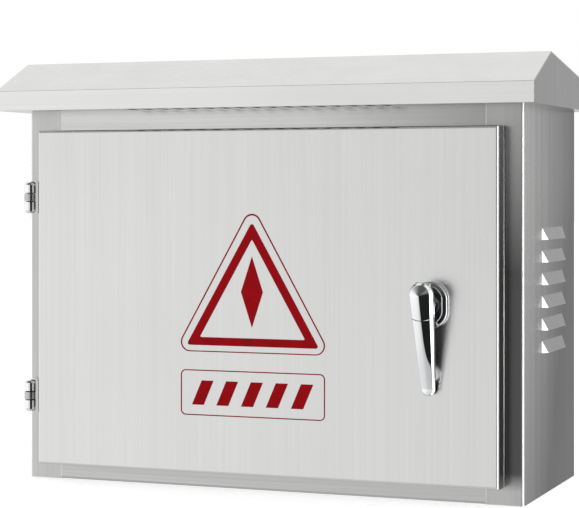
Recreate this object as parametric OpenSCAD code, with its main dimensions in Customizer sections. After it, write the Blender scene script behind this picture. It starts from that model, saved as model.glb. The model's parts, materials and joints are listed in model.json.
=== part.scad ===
// Wall-mounted switchboard cabinet with a rain hood, a hinged overlay door and its equipment.
// Millimetres. X runs to the right seen from the front, Y runs into the wall and Z runs up.
// The origin is the middle of the four wall holes, on the rear face, at half the body's height.

/* [Body] */
// Width over the two side panels
body_w = 500; // [440:5:620]
// Height from the floor to the lower edge of the hood
body_h = 360; // [320:5:460]
// Depth from the wall to the face of the front frame
body_d = 200; // [170:5:260]
// How far the walls run on inside the hood
body_rise = 20; // [16:1:24]
// Thickness of the folded sheet
sheet = 1.5; // [1.2:0.1:2]
// Inside radius of the folds
bend_r = 1.5; // [1:0.5:2.5]
// Width of the front frame at the sides and the bottom
frame_w = 35; // [33:1:42]
// Height of the front frame above the opening, up to the hood
frame_top_h = 37; // [36:1:44]
// Height of the rain lip that stands out around the opening
lip_h = 13; // [10:0.5:15]

/* [Wall holes] */
// Distance from a wall hole to the side of the body
wall_in_x = 30; // [24:1:36]
// Distance from a wall hole to the floor, and to the lower edge of the hood
wall_in_z = 30; // [20:1:34]
// Diameter of a wall hole
wall_hole_d = 9; // [7:0.5:11]

/* [Hood] */
// Overhang of the hood in front of the frame
hood_front = 37; // [32:1:50]
// Overhang of the hood at each side
hood_side = 18; // [10:1:30]
// Height of the upright front band
hood_band = 19; // [15:1:30]
// Distance from the front band back to the ridge
ridge_run = 65; // [50:1:80]
// Height of the ridge above the front band
ridge_rise = 30; // [26:1:40]
// Height of the roof above the body at the wall
roof_gap = 3; // [2.5:0.5:6]
// Number of vent slots under the front overhang
vent_n = 17; // [5:1:21]
// Spacing of the vent slots
vent_pitch = 16; // [12:1:18]

/* [Side louvres] */
// Number of louvres in each side
louvre_n = 6; // [1:1:7]
// Spacing of the louvres
louvre_pitch = 21; // [18:1:24]
// Length of a louvre
louvre_l = 80; // [50:5:90]
// Height of a louvre
louvre_h = 11; // [9:1:13]
// How far a louvre stands out of the side
louvre_out = 5; // [4:0.5:5.5]

/* [Door] */
// Margin between the door and the left side of the body
door_left = 20.4; // [19:0.1:24]
// Margin between the door and the right side of the body
door_right = 17.6; // [14:0.1:22]
// Margin below the door
door_below = 16.7; // [14:0.1:20]
// Margin between the door and the lower edge of the hood
door_above = 19.2; // [15:0.1:22]
// Depth of the folded door pan
door_t = 20; // [18:0.5:24]
// Gap between the door pan and the frame
door_gap = 2; // [1:0.5:3]
// Width of the foam seal
seal_w = 12; // [8:1:13]

/* [Hinges] */
// Distance of each hinge from the middle of the door
hinge_dz = 97; // [70:1:110]
// Radius of a hinge barrel
barrel_r = 6.25; // [5.5:0.25:6.5]
// Height of a hinge
hinge_h = 31; // [28:1:40]
// Height of the door's knuckle
knuckle_h = 7; // [6:0.5:8]
// Radius of a hinge pin
pin_r = 2.5; // [2:0.1:3]

/* [Handle] */
// Distance from the right side of the body to the handle's axis
handle_in = 80; // [78:1:90]
// Half width of the handle's oblong base
base_r = 16.5; // [15:0.5:18]
// Half height of the handle's oblong base
base_half_h = 21; // [19:0.5:23]
// Radius of the lever's head
head_r = 11.5; // [11:0.5:13]
// Radius of the lever's tail
tail_r = 7.5; // [7:0.5:9]
// Distance from the handle's axis down to the tip of the lever
lever_reach = 81; // [76:1:95]
// How far the crown of the lever stands out of the door
lever_proud = 40; // [38:1:44]
// How far the latch tongue laps behind the frame when it is turned
tongue_lap = 13; // [8:1:20]

/* [Equipment] */
// Width of one breaker module
module_w = 18; // [17.5:0.1:20]
// Number of branch breakers
branch_n = 4; // [1:1:6]
// Distance from the mounting plate to each side of the body
plate_in_x = 55; // [50:1:60]
// Distance from the mounting plate to the floor, and to the lower edge of the hood
plate_in_z = 45; // [42:1:55]
// Distance from the rear panel to the mounting plate
plate_off = 16; // [12:1:20]
// Radius of the cable hole in a grommet
cable_r = 12; // [8:0.5:13]

/* [Hidden] */
$fn = 48;
hull_fn = 32;
cut = 1;                                 // how far a cut runs past the face it opens
slip = 0.05;                             // radial clearance of a running fit
part_gap = 0.3;                          // clearance between pieces that turn past each other
fold = bend_r + sheet;                   // outside radius of a fold

steel = "silver";
zinc = "lightgray";
chrome = [0.8, 0.82, 0.85];
dark = [0.2, 0.2, 0.22];
casing = [0.9, 0.9, 0.88];
brass = [0.8, 0.65, 0.3];
warning_red = [0.56, 0.05, 0.08];

side_x = body_w / 2;
floor_z = -body_h / 2;
hood_z = body_h / 2;
top_z = hood_z + body_rise;
frame_y = -body_d;
open_x = side_x - frame_w;
open_z0 = floor_z + frame_w;
open_z1 = hood_z - frame_top_h;
lip_y = frame_y - lip_h;

louvre_y = frame_y + 67;                 // front end of the louvres
louvre_z = floor_z + 132;                // lower edge of the lowest louvre

hood_y = frame_y - hood_front;
hood_x = side_x + hood_side;
ridge_y = hood_y + ridge_run;
band_z = hood_z + hood_band;
ridge_z = band_z + ridge_rise;
wall_z = top_z + roof_gap;               // top of the roof at the wall
front_a = atan2(ridge_rise, ridge_run);
rear_a = atan2(ridge_z - wall_z, -ridge_y);
vent_w = 8;
vent_rim = 5;                            // sheet left in front of and behind a vent slot
top_vent_n = 8;                          // slots in each of the two rows in the top
top_vent_pitch = 14;
top_vent_x = 70;                         // middle of each row
top_vent_y = [frame_y + 80, frame_y + 150];
rib_y = [ridge_y - 18, ridge_y + 52];    // front and rear of the ribs under the roof
rib_x = side_x - 60;
rib_foot = 18;
rib_screw_in = 12;
rib_screw_r = 2.5;

door_x0 = -side_x + door_left;
door_x1 = side_x - door_right;
door_z0 = floor_z + door_below;
door_z1 = hood_z - door_above;
door_mid_z = (door_z0 + door_z1) / 2;
door_back = frame_y - door_gap;          // rear edge of the door pan
door_y = door_back - door_t;             // front face of the door
skin_y = door_y + sheet;                 // rear face of the door's skin
seal_gap = 0.2;                          // the lip stops this short of the foam
hat_w = 30;
hat_d = 12;
hat_foot = 8;
hat_xs = [-125, 105];

leaf_t = 3;                              // door leaf of a hinge
foot_t = 2;                              // frame leaf of a hinge
axis_x = -side_x + barrel_r + 0.45;      // hinge axis, just inside the side of the body
axis_y = frame_y - foot_t - barrel_r - 2.75;
hinge_zs = [door_mid_z - hinge_dz, door_mid_z + hinge_dz];
dome_r = 4;                              // rounding at the ends of a barrel
web_t = 3;
stud_dz = 9.5;                           // studs above and below the middle of a leaf
stud_r = 2.5;
nut_r = 4.6;
nut_t = 4;
stud_out = sheet + nut_t + 1;            // how far a stud stands out behind its leaf
foot_stud_x = axis_x + 2.5;
leaf_stud_y = axis_y - 1;

handle_x = side_x - handle_in;
washer_t = 1;                            // seal behind the handle's base
washer_in = 0.5;                         // the seal is this much smaller all round
base_t = 6.5;
base_bevel = 2;
base_y = door_y - washer_t - base_t;     // front of the handle's base
stem_r = 9.5;                            // threaded stem of the base
stem_y = door_y + 16;                    // inner end of the stem
handle_nut_r = 14;
handle_nut_t = 5;
spindle_r = 5;
square_w = 8;                            // square drive of the spindle
neck_r = 9;
head_z = 8.5;                            // centre of the lever's head above the axis
head_y = door_y - lever_proud + 18;      // rear of the lever's head
face_y = head_y - 6;                     // face of the lever under the lock cover
crown_y = door_y - lever_proud;
tail_z = tail_r - lever_reach;
tail_y = door_y - 5;                     // rear of the lever's tail
socket_y = [head_y - 1, head_y + 4];     // square socket in the lever
lid_r = 24;                              // radius of the seam below the lock cover
lid_z = 12;
lid_pin_r = 1;
lid_pin_y = face_y + 4;
lid_pin_z = head_z + head_r - 1;
lid_pin_x = 7;                           // half length of the cover's pin
lug_r = 2.2;
lug_x = 4;                               // half width of the slot for the cover's lug
lug_sweep = 5.8;
key_r = 6;
key_y = [face_y - 2, face_y + 3.5];      // front and rear of the lock cylinder
bumper_r = 7;
bumper_z = -62;
tongue_t = 3;
tongue_w = 16;
tongue_hub_r = 10;
tongue_l = open_x + tongue_lap - handle_x;
tongue_y = frame_y + sheet + 1;          // front face of the tongue, behind the frame
screw_r = 3;
screw_l = 8;
screw_head_r = 5.5;
screw_head_t = 4;

plate_t = 2;
plate_x = side_x - plate_in_x;
plate_z = body_h / 2 - plate_in_z;
plate_y = -sheet - plate_off;            // rear face of the mounting plate
plate_face = plate_y - plate_t;
plate_hem = 8;                           // folded edges of the plate, towards the wall
plate_stud_r = 4;
plate_stud_x = plate_x - 18;
plate_stud_z = plate_z - 18;
spacer_r = 7;
plate_nut_r = 7.5;
plate_nut_t = 6.5;
rail_h = 35;
rail_d = 7.5;
rail_t = 1;
rail_rib = 27;                           // width over the rail's inner channel
rail_in = 20;
rail_x = plate_x - rail_in;
rail_zs = [-42, 62];
rail_y = plate_face - rail_d;            // front of the rails, where the devices clip on
device_h = 80;
nose_h = 45;
shoulder_d = 44;
nose_d = 60;
grip_d = 2.5;                            // how far a device reaches back over its rail
device_gap = 0.2;                        // air at each side of a device
row_gap = 18;                            // space between the main breaker and the branches
main_w = 3 * module_w;
row_x = -(main_w + row_gap + branch_n * module_w) / 2;
branch_x = row_x + main_w + row_gap;
drum_r = 9;
drum_y = rail_y - nose_d + 7.5;          // pivot of the toggles
toggle_r = 16;
toggle_t = 4;
toggle_in = 0.4;                         // a toggle's stick is this much narrower than its drum
toggle_a = 40;                           // a toggle rests this far above the level
axle_r = 1.5;
axle_l = 2.4;
drum_wall = 3.3;                         // casing beside a toggle's drum
window_h = 24;                           // shallow recess that a toggle stands in
window_d = 2.5;
terminal_dz = 31;                        // terminal screws above and below the rail
terminal_r = 3;
terminal_d = 8;
comb_h = 10;
comb_d = 8;
comb_y = rail_y - 32;
tine_w = 4;
tine_h = 3;
block_n = 10;
block_w = 8;
block_h = 50;
block_d = 40;
block_slope = 14;                        // bevel at the top and the foot of a terminal block
block_hole_r = 2;
block_hole_dz = 6;
block_hole_d = 10;
bar_l = 130;
bar_z = -plate_z + 24;
bar_n = 8;
bar_h = 12;
bar_d = 8;
bar_off = 14;                            // space between a terminal bar and the plate
bar_x = 15;                              // inner end of each terminal bar
wire_r = 2.5;
bar_screw_r = 2;
bar_screw_l = 1.2;                       // thread that reaches into the bar
bar_head_r = 3;
bar_head_t = 3;
bar_slot_w = 0.8;
bar_slot_d = 1;
bar_foot = 4;                            // feet of the earth bar
insulator_w = 10;

gland_x = 90;                            // half width of the cut-out under the gland plate
gland_y = [-145, -55];
gland_rim = 15;
gland_screw_r = 2;
gland_head_r = 4.5;
gland_head_t = 2.5;
grommet_x = 45;
grommet_y = (gland_y[0] + gland_y[1]) / 2;
grommet_wall = 3;
grommet_lip = 4;
grommet_top = 4;

sign_x = -4;                             // middle of the warning print
sign_t = 0.3;
line_t = 1;                              // thin lines around the triangle and the plate
line_half = 72.5;                        // half the foot of the thin line
line_z = [-49, 81];
line_r = 9;
tri_half = 65.3;                         // half the foot of the triangle
tri_z = [-42.8, 71.3];
tri_r = 2;
hole_half = 52.4;                        // half the foot of the triangle's opening
hole_z = [-35.2, 56.3];
hole_r = 1;
lozenge = [[0, -25], [11, 8], [0, 41], [-11, 8]]; // the plain mark in the triangle
label_z = [-109, -66];                   // the plate below the triangle
label_r = 5;
dash_n = 5;                              // slanted dashes inside the plate
dash_pitch = 25;
dash_w = 12;
dash_h = 23;
dash_lean = 5;

// ---- helpers -------------------------------------------------------------------------------

module block(low, high) translate(low) cube(high - low);

// children are drawn as (y, z)
module along_x(x0, x1)
    translate([x0, 0, 0]) rotate([90, 0, 90]) linear_extrude(x1 - x0) children();

// children are drawn as (x, z)
module along_y(y0, y1)
    translate([0, y1, 0]) rotate([90, 0, 0]) linear_extrude(y1 - y0) children();

// children are drawn as (x, y)
module along_z(z0, z1)
    translate([0, 0, z0]) linear_extrude(z1 - z0) children();

module rod_x(y, z, r, x0, x1, sides = $fn)
    translate([x0, y, z]) rotate([0, 90, 0]) cylinder(r = r, h = x1 - x0, $fn = sides);

module rod_y(x, z, r, y0, y1, sides = $fn)
    translate([x, y1, z]) rotate([90, 0, 0]) cylinder(r = r, h = y1 - y0, $fn = sides);

module rod_z(x, y, r, z0, z1, sides = $fn)
    translate([x, y, z0]) cylinder(r = r, h = z1 - z0, $fn = sides);

module rect(u0, u1, v0, v1) translate([u0, v0]) square([u1 - u0, v1 - v0]);

module four(x, z)
    for (sx = [-1, 1], sz = [-1, 1]) translate([sx * x, 0, sz * z]) children();

// a quarter of a fold about (u, v), in the quadrant that su and sv point to
module fold_arc(u, v, su, sv) translate([u, v]) intersection() {
    difference() {
        circle(fold);
        circle(bend_r);
    }
    translate([min(0, su * fold), min(0, sv * fold)]) square(fold);
}

// ---- body ----------------------------------------------------------------------------------

module rear_panel() color(steel) difference() {
    block([-side_x + sheet, -sheet, floor_z], [side_x - sheet, 0, top_z]);
    four(side_x - wall_in_x, body_h / 2 - wall_in_z)
        rod_y(0, 0, wall_hole_d / 2, -sheet - cut, cut);
}

// wall, front fold and flange of the right side, drawn as (x, y)
module side_section(with_lip) {
    rect(side_x - sheet, side_x, frame_y + fold, 0);
    fold_arc(side_x - fold, frame_y + fold, 1, -1);
    rect(open_x + (with_lip ? fold : 0), side_x - fold, frame_y, frame_y + sheet);
    if (with_lip) {
        fold_arc(open_x + fold, frame_y - bend_r, -1, 1);
        rect(open_x, open_x + sheet, lip_y, frame_y - bend_r);
    }
}

// a wedge that stands out of a side, drawn from its lower rear corner
module louvre_form(out, h, l) intersection() {
    rotate([90, 0, 0]) linear_extrude(l) polygon([[0, 0], [out, 0], [0, h]]);
    linear_extrude(h) polygon([[0, 0], [0, -l], [out, out - l], [out, -out]]);
}

// the space under a louvre and the opening behind it
module louvre_hollow(out, h, l) {
    keep = 1 - sheet * sqrt(1 / (out * out) + 1 / (h * h));
    depth = sheet + cut;
    intersection() {
        rotate([90, 0, 0]) linear_extrude(l)
            polygon([[-depth, 0], [0, 0], [0, -cut], [out * keep + cut * out / h, -cut],
                     [0, h * keep], [-depth, h * keep]]);
        translate([0, 0, -cut]) linear_extrude(h + cut)
            polygon([[-depth, -sheet], [-depth, sheet - l], [0, sheet - l],
                     [out, sheet + out - l], [out, -sheet - out], [0, -sheet]]);
    }
}

module each_louvre() for (i = [0:louvre_n - 1])
    translate([side_x, louvre_y + louvre_l, louvre_z + i * louvre_pitch]) children();

// the right side; the left one is its mirror image
module side_panel(hinged) difference() {
    union() {
        along_z(floor_z, open_z0 - sheet) side_section(false);
        along_z(open_z0 - sheet, open_z1 + sheet) side_section(true);
        along_z(open_z1 + sheet, top_z) side_section(false);
        each_louvre() louvre_form(louvre_out, louvre_h, louvre_l);
    }
    each_louvre() louvre_hollow(louvre_out, louvre_h, louvre_l);
    if (hinged)
        for (z = hinge_zs, s = [-1, 1])
            rod_y(-foot_stud_x, z + s * stud_dz, stud_r, frame_y - cut, frame_y + sheet + cut);
}

module left_side_panel() color(steel) mirror([1, 0, 0]) side_panel(true);
module right_side_panel() color(steel) side_panel(false);

// floor, front fold, flange and lip, drawn as (y, height above the outer face)
module end_section(flange) {
    rect(frame_y + fold, -sheet, 0, sheet);
    fold_arc(frame_y + fold, fold, -1, -1);
    rect(frame_y, frame_y + sheet, fold, flange - fold);
    fold_arc(frame_y - bend_r, flange - fold, 1, 1);
    rect(lip_y, frame_y - bend_r, flange - sheet, flange);
}

module end_panel(flange) {
    along_x(-open_x, open_x) end_section(flange);
    for (s = [0, 1]) mirror([s, 0, 0]) {
        block([open_x, frame_y + fold, 0], [side_x - sheet, -sheet, sheet]);
        block([open_x, frame_y + sheet, 0], [side_x - fold, frame_y + fold, sheet]);
    }
}

module gland_screw_places()
    for (sx = [-1, 1], y = [gland_y[0] - gland_rim / 2, gland_y[1] + gland_rim / 2])
        translate([sx * (gland_x + gland_rim / 2), y, floor_z]) children();

module bottom_panel() color(steel) difference() {
    translate([0, 0, floor_z]) end_panel(frame_w);
    block([-gland_x, gland_y[0], floor_z - cut], [gland_x, gland_y[1], floor_z + sheet + cut]);
    gland_screw_places() rod_z(0, 0, gland_screw_r, -cut, sheet + cut);
}

module rib_screw_places()
    for (s = [-1, 1], y = [rib_y[0] + rib_screw_in, rib_y[1] - rib_screw_in])
        translate([s * (rib_x - rib_foot / 2), y, top_z]) children();

module top_panel() color(steel) difference() {
    translate([0, 0, top_z]) mirror([0, 0, 1]) end_panel(top_z - open_z1);
    for (s = [-1, 1], i = [0:top_vent_n - 1])
        translate([s * top_vent_x + (i - (top_vent_n - 1) / 2) * top_vent_pitch, 0, 0])
            block([-vent_w / 2, top_vent_y[0], top_z - sheet - cut],
                  [vent_w / 2, top_vent_y[1], top_z + cut]);
    rib_screw_places() rod_z(0, 0, rib_screw_r, -sheet - cut, cut);
}

module gland_plate() color(steel) difference() {
    block([-gland_x - gland_rim, gland_y[0] - gland_rim, floor_z + sheet],
          [gland_x + gland_rim, gland_y[1] + gland_rim, floor_z + 2 * sheet]);
    for (s = [-1, 1])
        rod_z(s * grommet_x, grommet_y, cable_r + grommet_wall, floor_z, floor_z + 2 * sheet + cut);
    gland_screw_places() rod_z(0, 0, gland_screw_r, 0, 2 * sheet + cut);
}

module gland_plate_screws() color(zinc) gland_screw_places() {
    rod_z(0, 0, gland_head_r, 2 * sheet, 2 * sheet + gland_head_t);
    rod_z(0, 0, gland_screw_r, 0.2, 2 * sheet);
}

module grommet(x) color(dark) translate([x, grommet_y, floor_z]) difference() {
    union() {
        rod_z(0, 0, cable_r + grommet_wall + grommet_lip, 0.1, sheet);
        rod_z(0, 0, cable_r + grommet_wall, sheet, 2 * sheet);
        translate([0, 0, 2 * sheet])
            cylinder(r1 = cable_r + grommet_wall + grommet_lip, r2 = cable_r + 2, h = grommet_top);
    }
    rod_z(0, 0, cable_r, -cut, 2 * sheet + grommet_top + cut);
}

// ---- hood ----------------------------------------------------------------------------------

function front_slope(y, t) = band_z + (y - hood_y) * tan(front_a) - t / cos(front_a);
function rear_slope(y, t) = ridge_z - (y - ridge_y) * tan(rear_a) - t / cos(rear_a);

// y of the ridge on the face t below the outer one
function ridge_at(t) = ridge_y
    + t * (1 / cos(front_a) - 1 / cos(rear_a)) / -(tan(front_a) + tan(rear_a));

// outline of the hood on the face t inside its outer one, drawn as (y, z)
function hood_outline(t) = [
    [hood_y + t, hood_z], [hood_y + t, front_slope(hood_y + t, t)],
    [ridge_at(-t), rear_slope(ridge_at(-t), t)], [0, rear_slope(0, t)]];

module hood_roof() color(steel) along_x(-hood_x, hood_x)
    polygon(concat(hood_outline(0),
        [hood_outline(sheet)[3], hood_outline(sheet)[2], hood_outline(sheet)[1],
         hood_outline(sheet)[0]]));

// the right end of the hood, with a flange that closes the overhang at the wall
module hood_gable() {
    along_x(hood_x - sheet, hood_x)
        polygon(concat(hood_outline(sheet), [[0, hood_z]]));
    block([side_x, -sheet, hood_z + sheet], [hood_x - sheet, 0, rear_slope(0, sheet)]);
}

module hood_left_gable() color(steel) mirror([1, 0, 0]) hood_gable();
module hood_right_gable() color(steel) hood_gable();

module hood_soffit() color(steel) difference() {
    block([-hood_x + sheet, hood_y + sheet, hood_z], [hood_x - sheet, 0, hood_z + sheet]);
    block([-side_x, frame_y, hood_z - cut], [side_x, cut, hood_z + sheet + cut]);
    for (i = [0:vent_n - 1]) translate([(i - (vent_n - 1) / 2) * vent_pitch, 0, 0])
        block([-vent_w / 2, hood_y + sheet + vent_rim, hood_z - cut],
              [vent_w / 2, frame_y - vent_rim, hood_z + sheet + cut]);
}

module hood_ribs() color(steel) difference() {
    for (s = [0, 1]) mirror([s, 0, 0]) {
        along_x(rib_x, rib_x + sheet)
            polygon([[rib_y[0], top_z], [rib_y[0], front_slope(rib_y[0], sheet)],
                     hood_outline(sheet)[2], [rib_y[1], rear_slope(rib_y[1], sheet)],
                     [rib_y[1], top_z]]);
        block([rib_x - rib_foot, rib_y[0], top_z], [rib_x, rib_y[1], top_z + sheet]);
    }
    rib_screw_places() rod_z(0, 0, rib_screw_r, -cut, sheet + cut);
}

module hood_screws() color(zinc) rib_screw_places() {
    rod_z(0, 0, nut_r, -sheet - nut_t, -sheet, 6);
    rod_z(0, 0, rib_screw_r, -sheet, sheet + nut_t);
}

// ---- door ----------------------------------------------------------------------------------

// rectangle with its two front corners rounded, drawn as (across, depth)
module front_round(u0, u1, v0, v1, r) {
    rect(u0, u1, v0 + r, v1);
    rect(u0 + r, u1 - r, v0, v0 + r);
    for (u = [u0 + r, u1 - r]) translate([u, v0 + r]) circle(r);
}

module pan_form(inset, back, r) intersection() {
    along_z(door_z0 + inset, door_z1 - inset)
        front_round(door_x0 + inset, door_x1 - inset, door_y + inset, back, r);
    along_x(door_x0 + inset, door_x1 - inset) mirror([1, -1])
        front_round(door_z0 + inset, door_z1 - inset, door_y + inset, back, r);
}

module door_panel() color(steel) difference() {
    pan_form(0, door_back, fold);
    pan_form(sheet, door_back + cut, bend_r);
    rod_y(handle_x, 0, stem_r, door_y - cut, skin_y + cut);
    for (z = hinge_zs, s = [-1, 1])
        rod_x(leaf_stud_y, z + s * stud_dz, stud_r, door_x0 - cut, door_x0 + sheet + cut);
}

// the foam is glued inside the door, centred on the lip
module door_seal() color(dark) {
    mid = sheet / 2;
    along_y(skin_y, lip_y - seal_gap) difference() {
        rect(-open_x - mid - seal_w / 2, open_x + mid + seal_w / 2,
             open_z0 - mid - seal_w / 2, open_z1 + mid + seal_w / 2);
        rect(-open_x - mid + seal_w / 2, open_x + mid - seal_w / 2,
             open_z0 - mid + seal_w / 2, open_z1 + mid - seal_w / 2);
    }
}

module door_stiffeners() color(steel) for (x = hat_xs)
    along_z(open_z0 + seal_w + 4, open_z1 - seal_w - 4) translate([x, skin_y]) {
        difference() {
            rect(-hat_w / 2, hat_w / 2, 0, hat_d);
            rect(-hat_w / 2 + sheet, hat_w / 2 - sheet, -cut, hat_d - sheet);
        }
        for (s = [-1, 1]) translate([s * (hat_w + hat_foot) / 2, sheet / 2])
            square([hat_foot, sheet], center = true);
    }

// ---- warning print ---------------------------------------------------------------------------

module printed() color(warning_red) translate([sign_x, 0, 0])
    along_y(door_y - sign_t, door_y) children();

module round_triangle(half, z0, z1, r) hull() {
    for (s = [-1, 1]) translate([s * (half - r), z0 + r]) circle(r, $fn = hull_fn);
    translate([0, z1 - r]) circle(r, $fn = hull_fn);
}

module round_rect(half, z0, z1, r) hull()
    for (x = [r - half, half - r], z = [z0 + r, z1 - r])
        translate([x, z]) circle(r, $fn = hull_fn);

module warning_triangle() printed() {
    difference() {
        round_triangle(line_half, line_z[0], line_z[1], line_r);
        round_triangle(line_half - 1.2 * line_t, line_z[0] + line_t, line_z[1] - 1.6 * line_t,
                       line_r - line_t);
    }
    difference() {
        round_triangle(tri_half, tri_z[0], tri_z[1], tri_r);
        round_triangle(hole_half, hole_z[0], hole_z[1], hole_r);
    }
}

module warning_lozenge() printed() polygon(lozenge);

module warning_plate() printed() {
    difference() {
        round_rect(line_half, label_z[0], label_z[1], label_r);
        round_rect(line_half - line_t, label_z[0] + line_t, label_z[1] - line_t,
                   label_r - line_t);
    }
    for (i = [0:dash_n - 1])
        translate([(i - (dash_n - 1) / 2) * dash_pitch, (label_z[0] + label_z[1]) / 2])
            polygon([[-dash_w / 2 - dash_lean, -dash_h / 2], [dash_w / 2 - dash_lean, -dash_h / 2],
                     [dash_w / 2 + dash_lean, dash_h / 2], [-dash_w / 2 + dash_lean, dash_h / 2]]);
}

// ---- hinges --------------------------------------------------------------------------------

// a knuckle from z0 up to z1, domed at the top
module domed_knuckle(z0, z1) translate([0, 0, z0]) rotate_extrude() {
    rect(0, barrel_r, 0, z1 - z0 - dome_r);
    rect(0, barrel_r - dome_r, 0, z1 - z0);
    translate([barrel_r - dome_r, z1 - z0 - dome_r]) intersection() {
        circle(dome_r);
        square(dome_r);
    }
}

module frame_leaf(z) color(chrome) translate([0, 0, z]) difference() {
    union() {
        block([-side_x + 1, frame_y - foot_t, -hinge_h / 2],
              [door_x0 - leaf_t - 0.5, frame_y, hinge_h / 2]);
        for (s = [0, 1]) mirror([0, 0, s]) {
            translate([axis_x, axis_y, 0]) domed_knuckle(knuckle_h / 2 + part_gap, hinge_h / 2);
            block([axis_x - web_t, axis_y, knuckle_h / 2 + part_gap],
                  [axis_x + web_t, frame_y - foot_t, hinge_h / 2 - dome_r]);
            rod_y(foot_stud_x, stud_dz, stud_r, frame_y - foot_t, frame_y + stud_out);
        }
    }
    rod_z(axis_x, axis_y, pin_r, -hinge_h / 2 + 2, hinge_h / 2 - 2);
}

module door_leaf(z) color(chrome) translate([0, 0, z]) difference() {
    union() {
        rod_z(axis_x, axis_y, barrel_r, -knuckle_h / 2, knuckle_h / 2);
        block([axis_x, axis_y - web_t / 2, -knuckle_h / 2],
              [door_x0 - leaf_t, axis_y + web_t / 2, knuckle_h / 2]);
        block([door_x0 - leaf_t, skin_y, -hinge_h / 2], [door_x0, door_back - 1, hinge_h / 2]);
        for (s = [-1, 1])
            rod_x(leaf_stud_y, s * stud_dz, stud_r, door_x0 - leaf_t, door_x0 + stud_out);
    }
    rod_z(axis_x, axis_y, pin_r + slip, -knuckle_h / 2 - cut, knuckle_h / 2 + cut);
}

module hinge_pin(z) color(chrome)
    rod_z(axis_x, axis_y, pin_r, z - hinge_h / 2 + 2, z + hinge_h / 2 - 2);

module hinge_frame_nuts() color(zinc) for (z = hinge_zs, s = [-1, 1]) difference() {
    rod_y(foot_stud_x, z + s * stud_dz, nut_r, frame_y + sheet, frame_y + sheet + nut_t, 6);
    rod_y(foot_stud_x, z + s * stud_dz, stud_r, frame_y, frame_y + sheet + nut_t + cut);
}

module hinge_door_nuts() color(zinc) for (z = hinge_zs, s = [-1, 1]) difference() {
    rod_x(leaf_stud_y, z + s * stud_dz, nut_r, door_x0 + sheet, door_x0 + sheet + nut_t, 6);
    rod_x(leaf_stud_y, z + s * stud_dz, stud_r, door_x0, door_x0 + sheet + nut_t + cut);
}

// ---- handle --------------------------------------------------------------------------------

module oblong(inset, y0, y1) for (s = [-1, 1])
    rod_y(handle_x, s * (base_half_h - base_r), base_r - inset, y0, y1);

module handle_base() color(chrome) difference() {
    union() {
        hull() {
            oblong(0, base_y + base_bevel, door_y - washer_t);
            oblong(base_bevel, base_y, door_y - washer_t);
        }
        rod_y(handle_x, 0, stem_r, door_y - washer_t, stem_y);
    }
    rod_y(handle_x, 0, spindle_r + slip, base_y - cut, stem_y + cut);
}

module handle_washer() color(dark) difference() {
    hull() oblong(washer_in, door_y - washer_t, door_y);
    rod_y(handle_x, 0, stem_r, door_y - washer_t - cut, door_y + cut);
}

module handle_nut() color(zinc) difference() {
    rod_y(handle_x, 0, handle_nut_r, skin_y, skin_y + handle_nut_t, 6);
    rod_y(handle_x, 0, stem_r, skin_y - cut, skin_y + handle_nut_t + cut);
}

module square_y(w, y0, y1)
    block([handle_x - w / 2, y0, -w / 2], [handle_x + w / 2, y1, w / 2]);

module handle_spindle() color(zinc) difference() {
    union() {
        square_y(square_w, socket_y[0], socket_y[1]);
        rod_y(handle_x, 0, spindle_r, socket_y[1], stem_y + 0.5);
        rod_y(handle_x, 0, spindle_r + 2, stem_y + 0.5, tongue_y);
        square_y(square_w, tongue_y, tongue_y + tongue_t);
    }
    rod_y(handle_x, 0, screw_r, tongue_y + tongue_t - screw_l, tongue_y + tongue_t + cut);
}

// the lever and its lock cover together, as one drop
module lever_form() hull() {
    rod_y(handle_x, head_z, head_r, face_y - 2, head_y, hull_fn);
    rod_y(handle_x, head_z - 3, head_r - 5.5, crown_y, crown_y + 1, hull_fn);
    rod_y(handle_x, tail_z, tail_r, tail_y - 4.5, tail_y, hull_fn);
    rod_y(handle_x, tail_z + 2, tail_r - 3.5, tail_y - 6, tail_y, hull_fn);
}

module handle_lever() color(chrome) difference() {
    union() {
        lever_form();
        rod_y(handle_x, 0, neck_r, head_y - cut, base_y - part_gap);
        for (s = [-1, 1])
            translate([handle_x + s * (lug_x + lid_pin_x) / 2, lid_pin_y, lid_pin_z])
                rotate([0, 90, 0]) cylinder(r = lug_r, h = lid_pin_x - lug_x, center = true);
    }
    rod_y(handle_x, lid_z, lid_r, crown_y - cut, face_y);
    rod_x(lid_pin_y, lid_pin_z, lug_sweep, handle_x - lug_x, handle_x + lug_x);
    rod_x(lid_pin_y, lid_pin_z, lid_pin_r, handle_x - lid_pin_x - cut, handle_x + lid_pin_x + cut);
    rod_y(handle_x, 0, key_r + slip, face_y - cut, key_y[1] + 0.1);
    square_y(square_w, socket_y[0], socket_y[1]);
    rod_y(handle_x, 0, spindle_r, socket_y[1], base_y);
}

module lock_cover() color(chrome) difference() {
    union() {
        intersection() {
            lever_form();
            rod_y(handle_x, lid_z, lid_r - part_gap, crown_y - cut, face_y - seal_gap);
        }
        rod_x(lid_pin_y, lid_pin_z, lug_r, handle_x - lug_x + 0.2, handle_x + lug_x - 0.2);
        block([handle_x - lug_x + 0.2, face_y - 1.2, lid_pin_z - 1.8],
              [handle_x + lug_x - 0.2, lid_pin_y, lid_pin_z + 1.8]);
    }
    rod_x(lid_pin_y, lid_pin_z, lid_pin_r + slip, handle_x - lug_x - cut, handle_x + lug_x + cut);
    rod_y(handle_x, 0, key_r + 2, key_y[0] - 2, face_y);
}

module lock_cover_pin() color(zinc)
    rod_x(lid_pin_y, lid_pin_z, lid_pin_r, handle_x - lid_pin_x, handle_x + lid_pin_x);

module lock_cylinder() color(brass) difference() {
    rod_y(handle_x, 0, key_r, key_y[0], key_y[1]);
    block([handle_x - 0.9, key_y[0] - cut, -4], [handle_x + 0.9, key_y[0] + 4, 4]);
}

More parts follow.
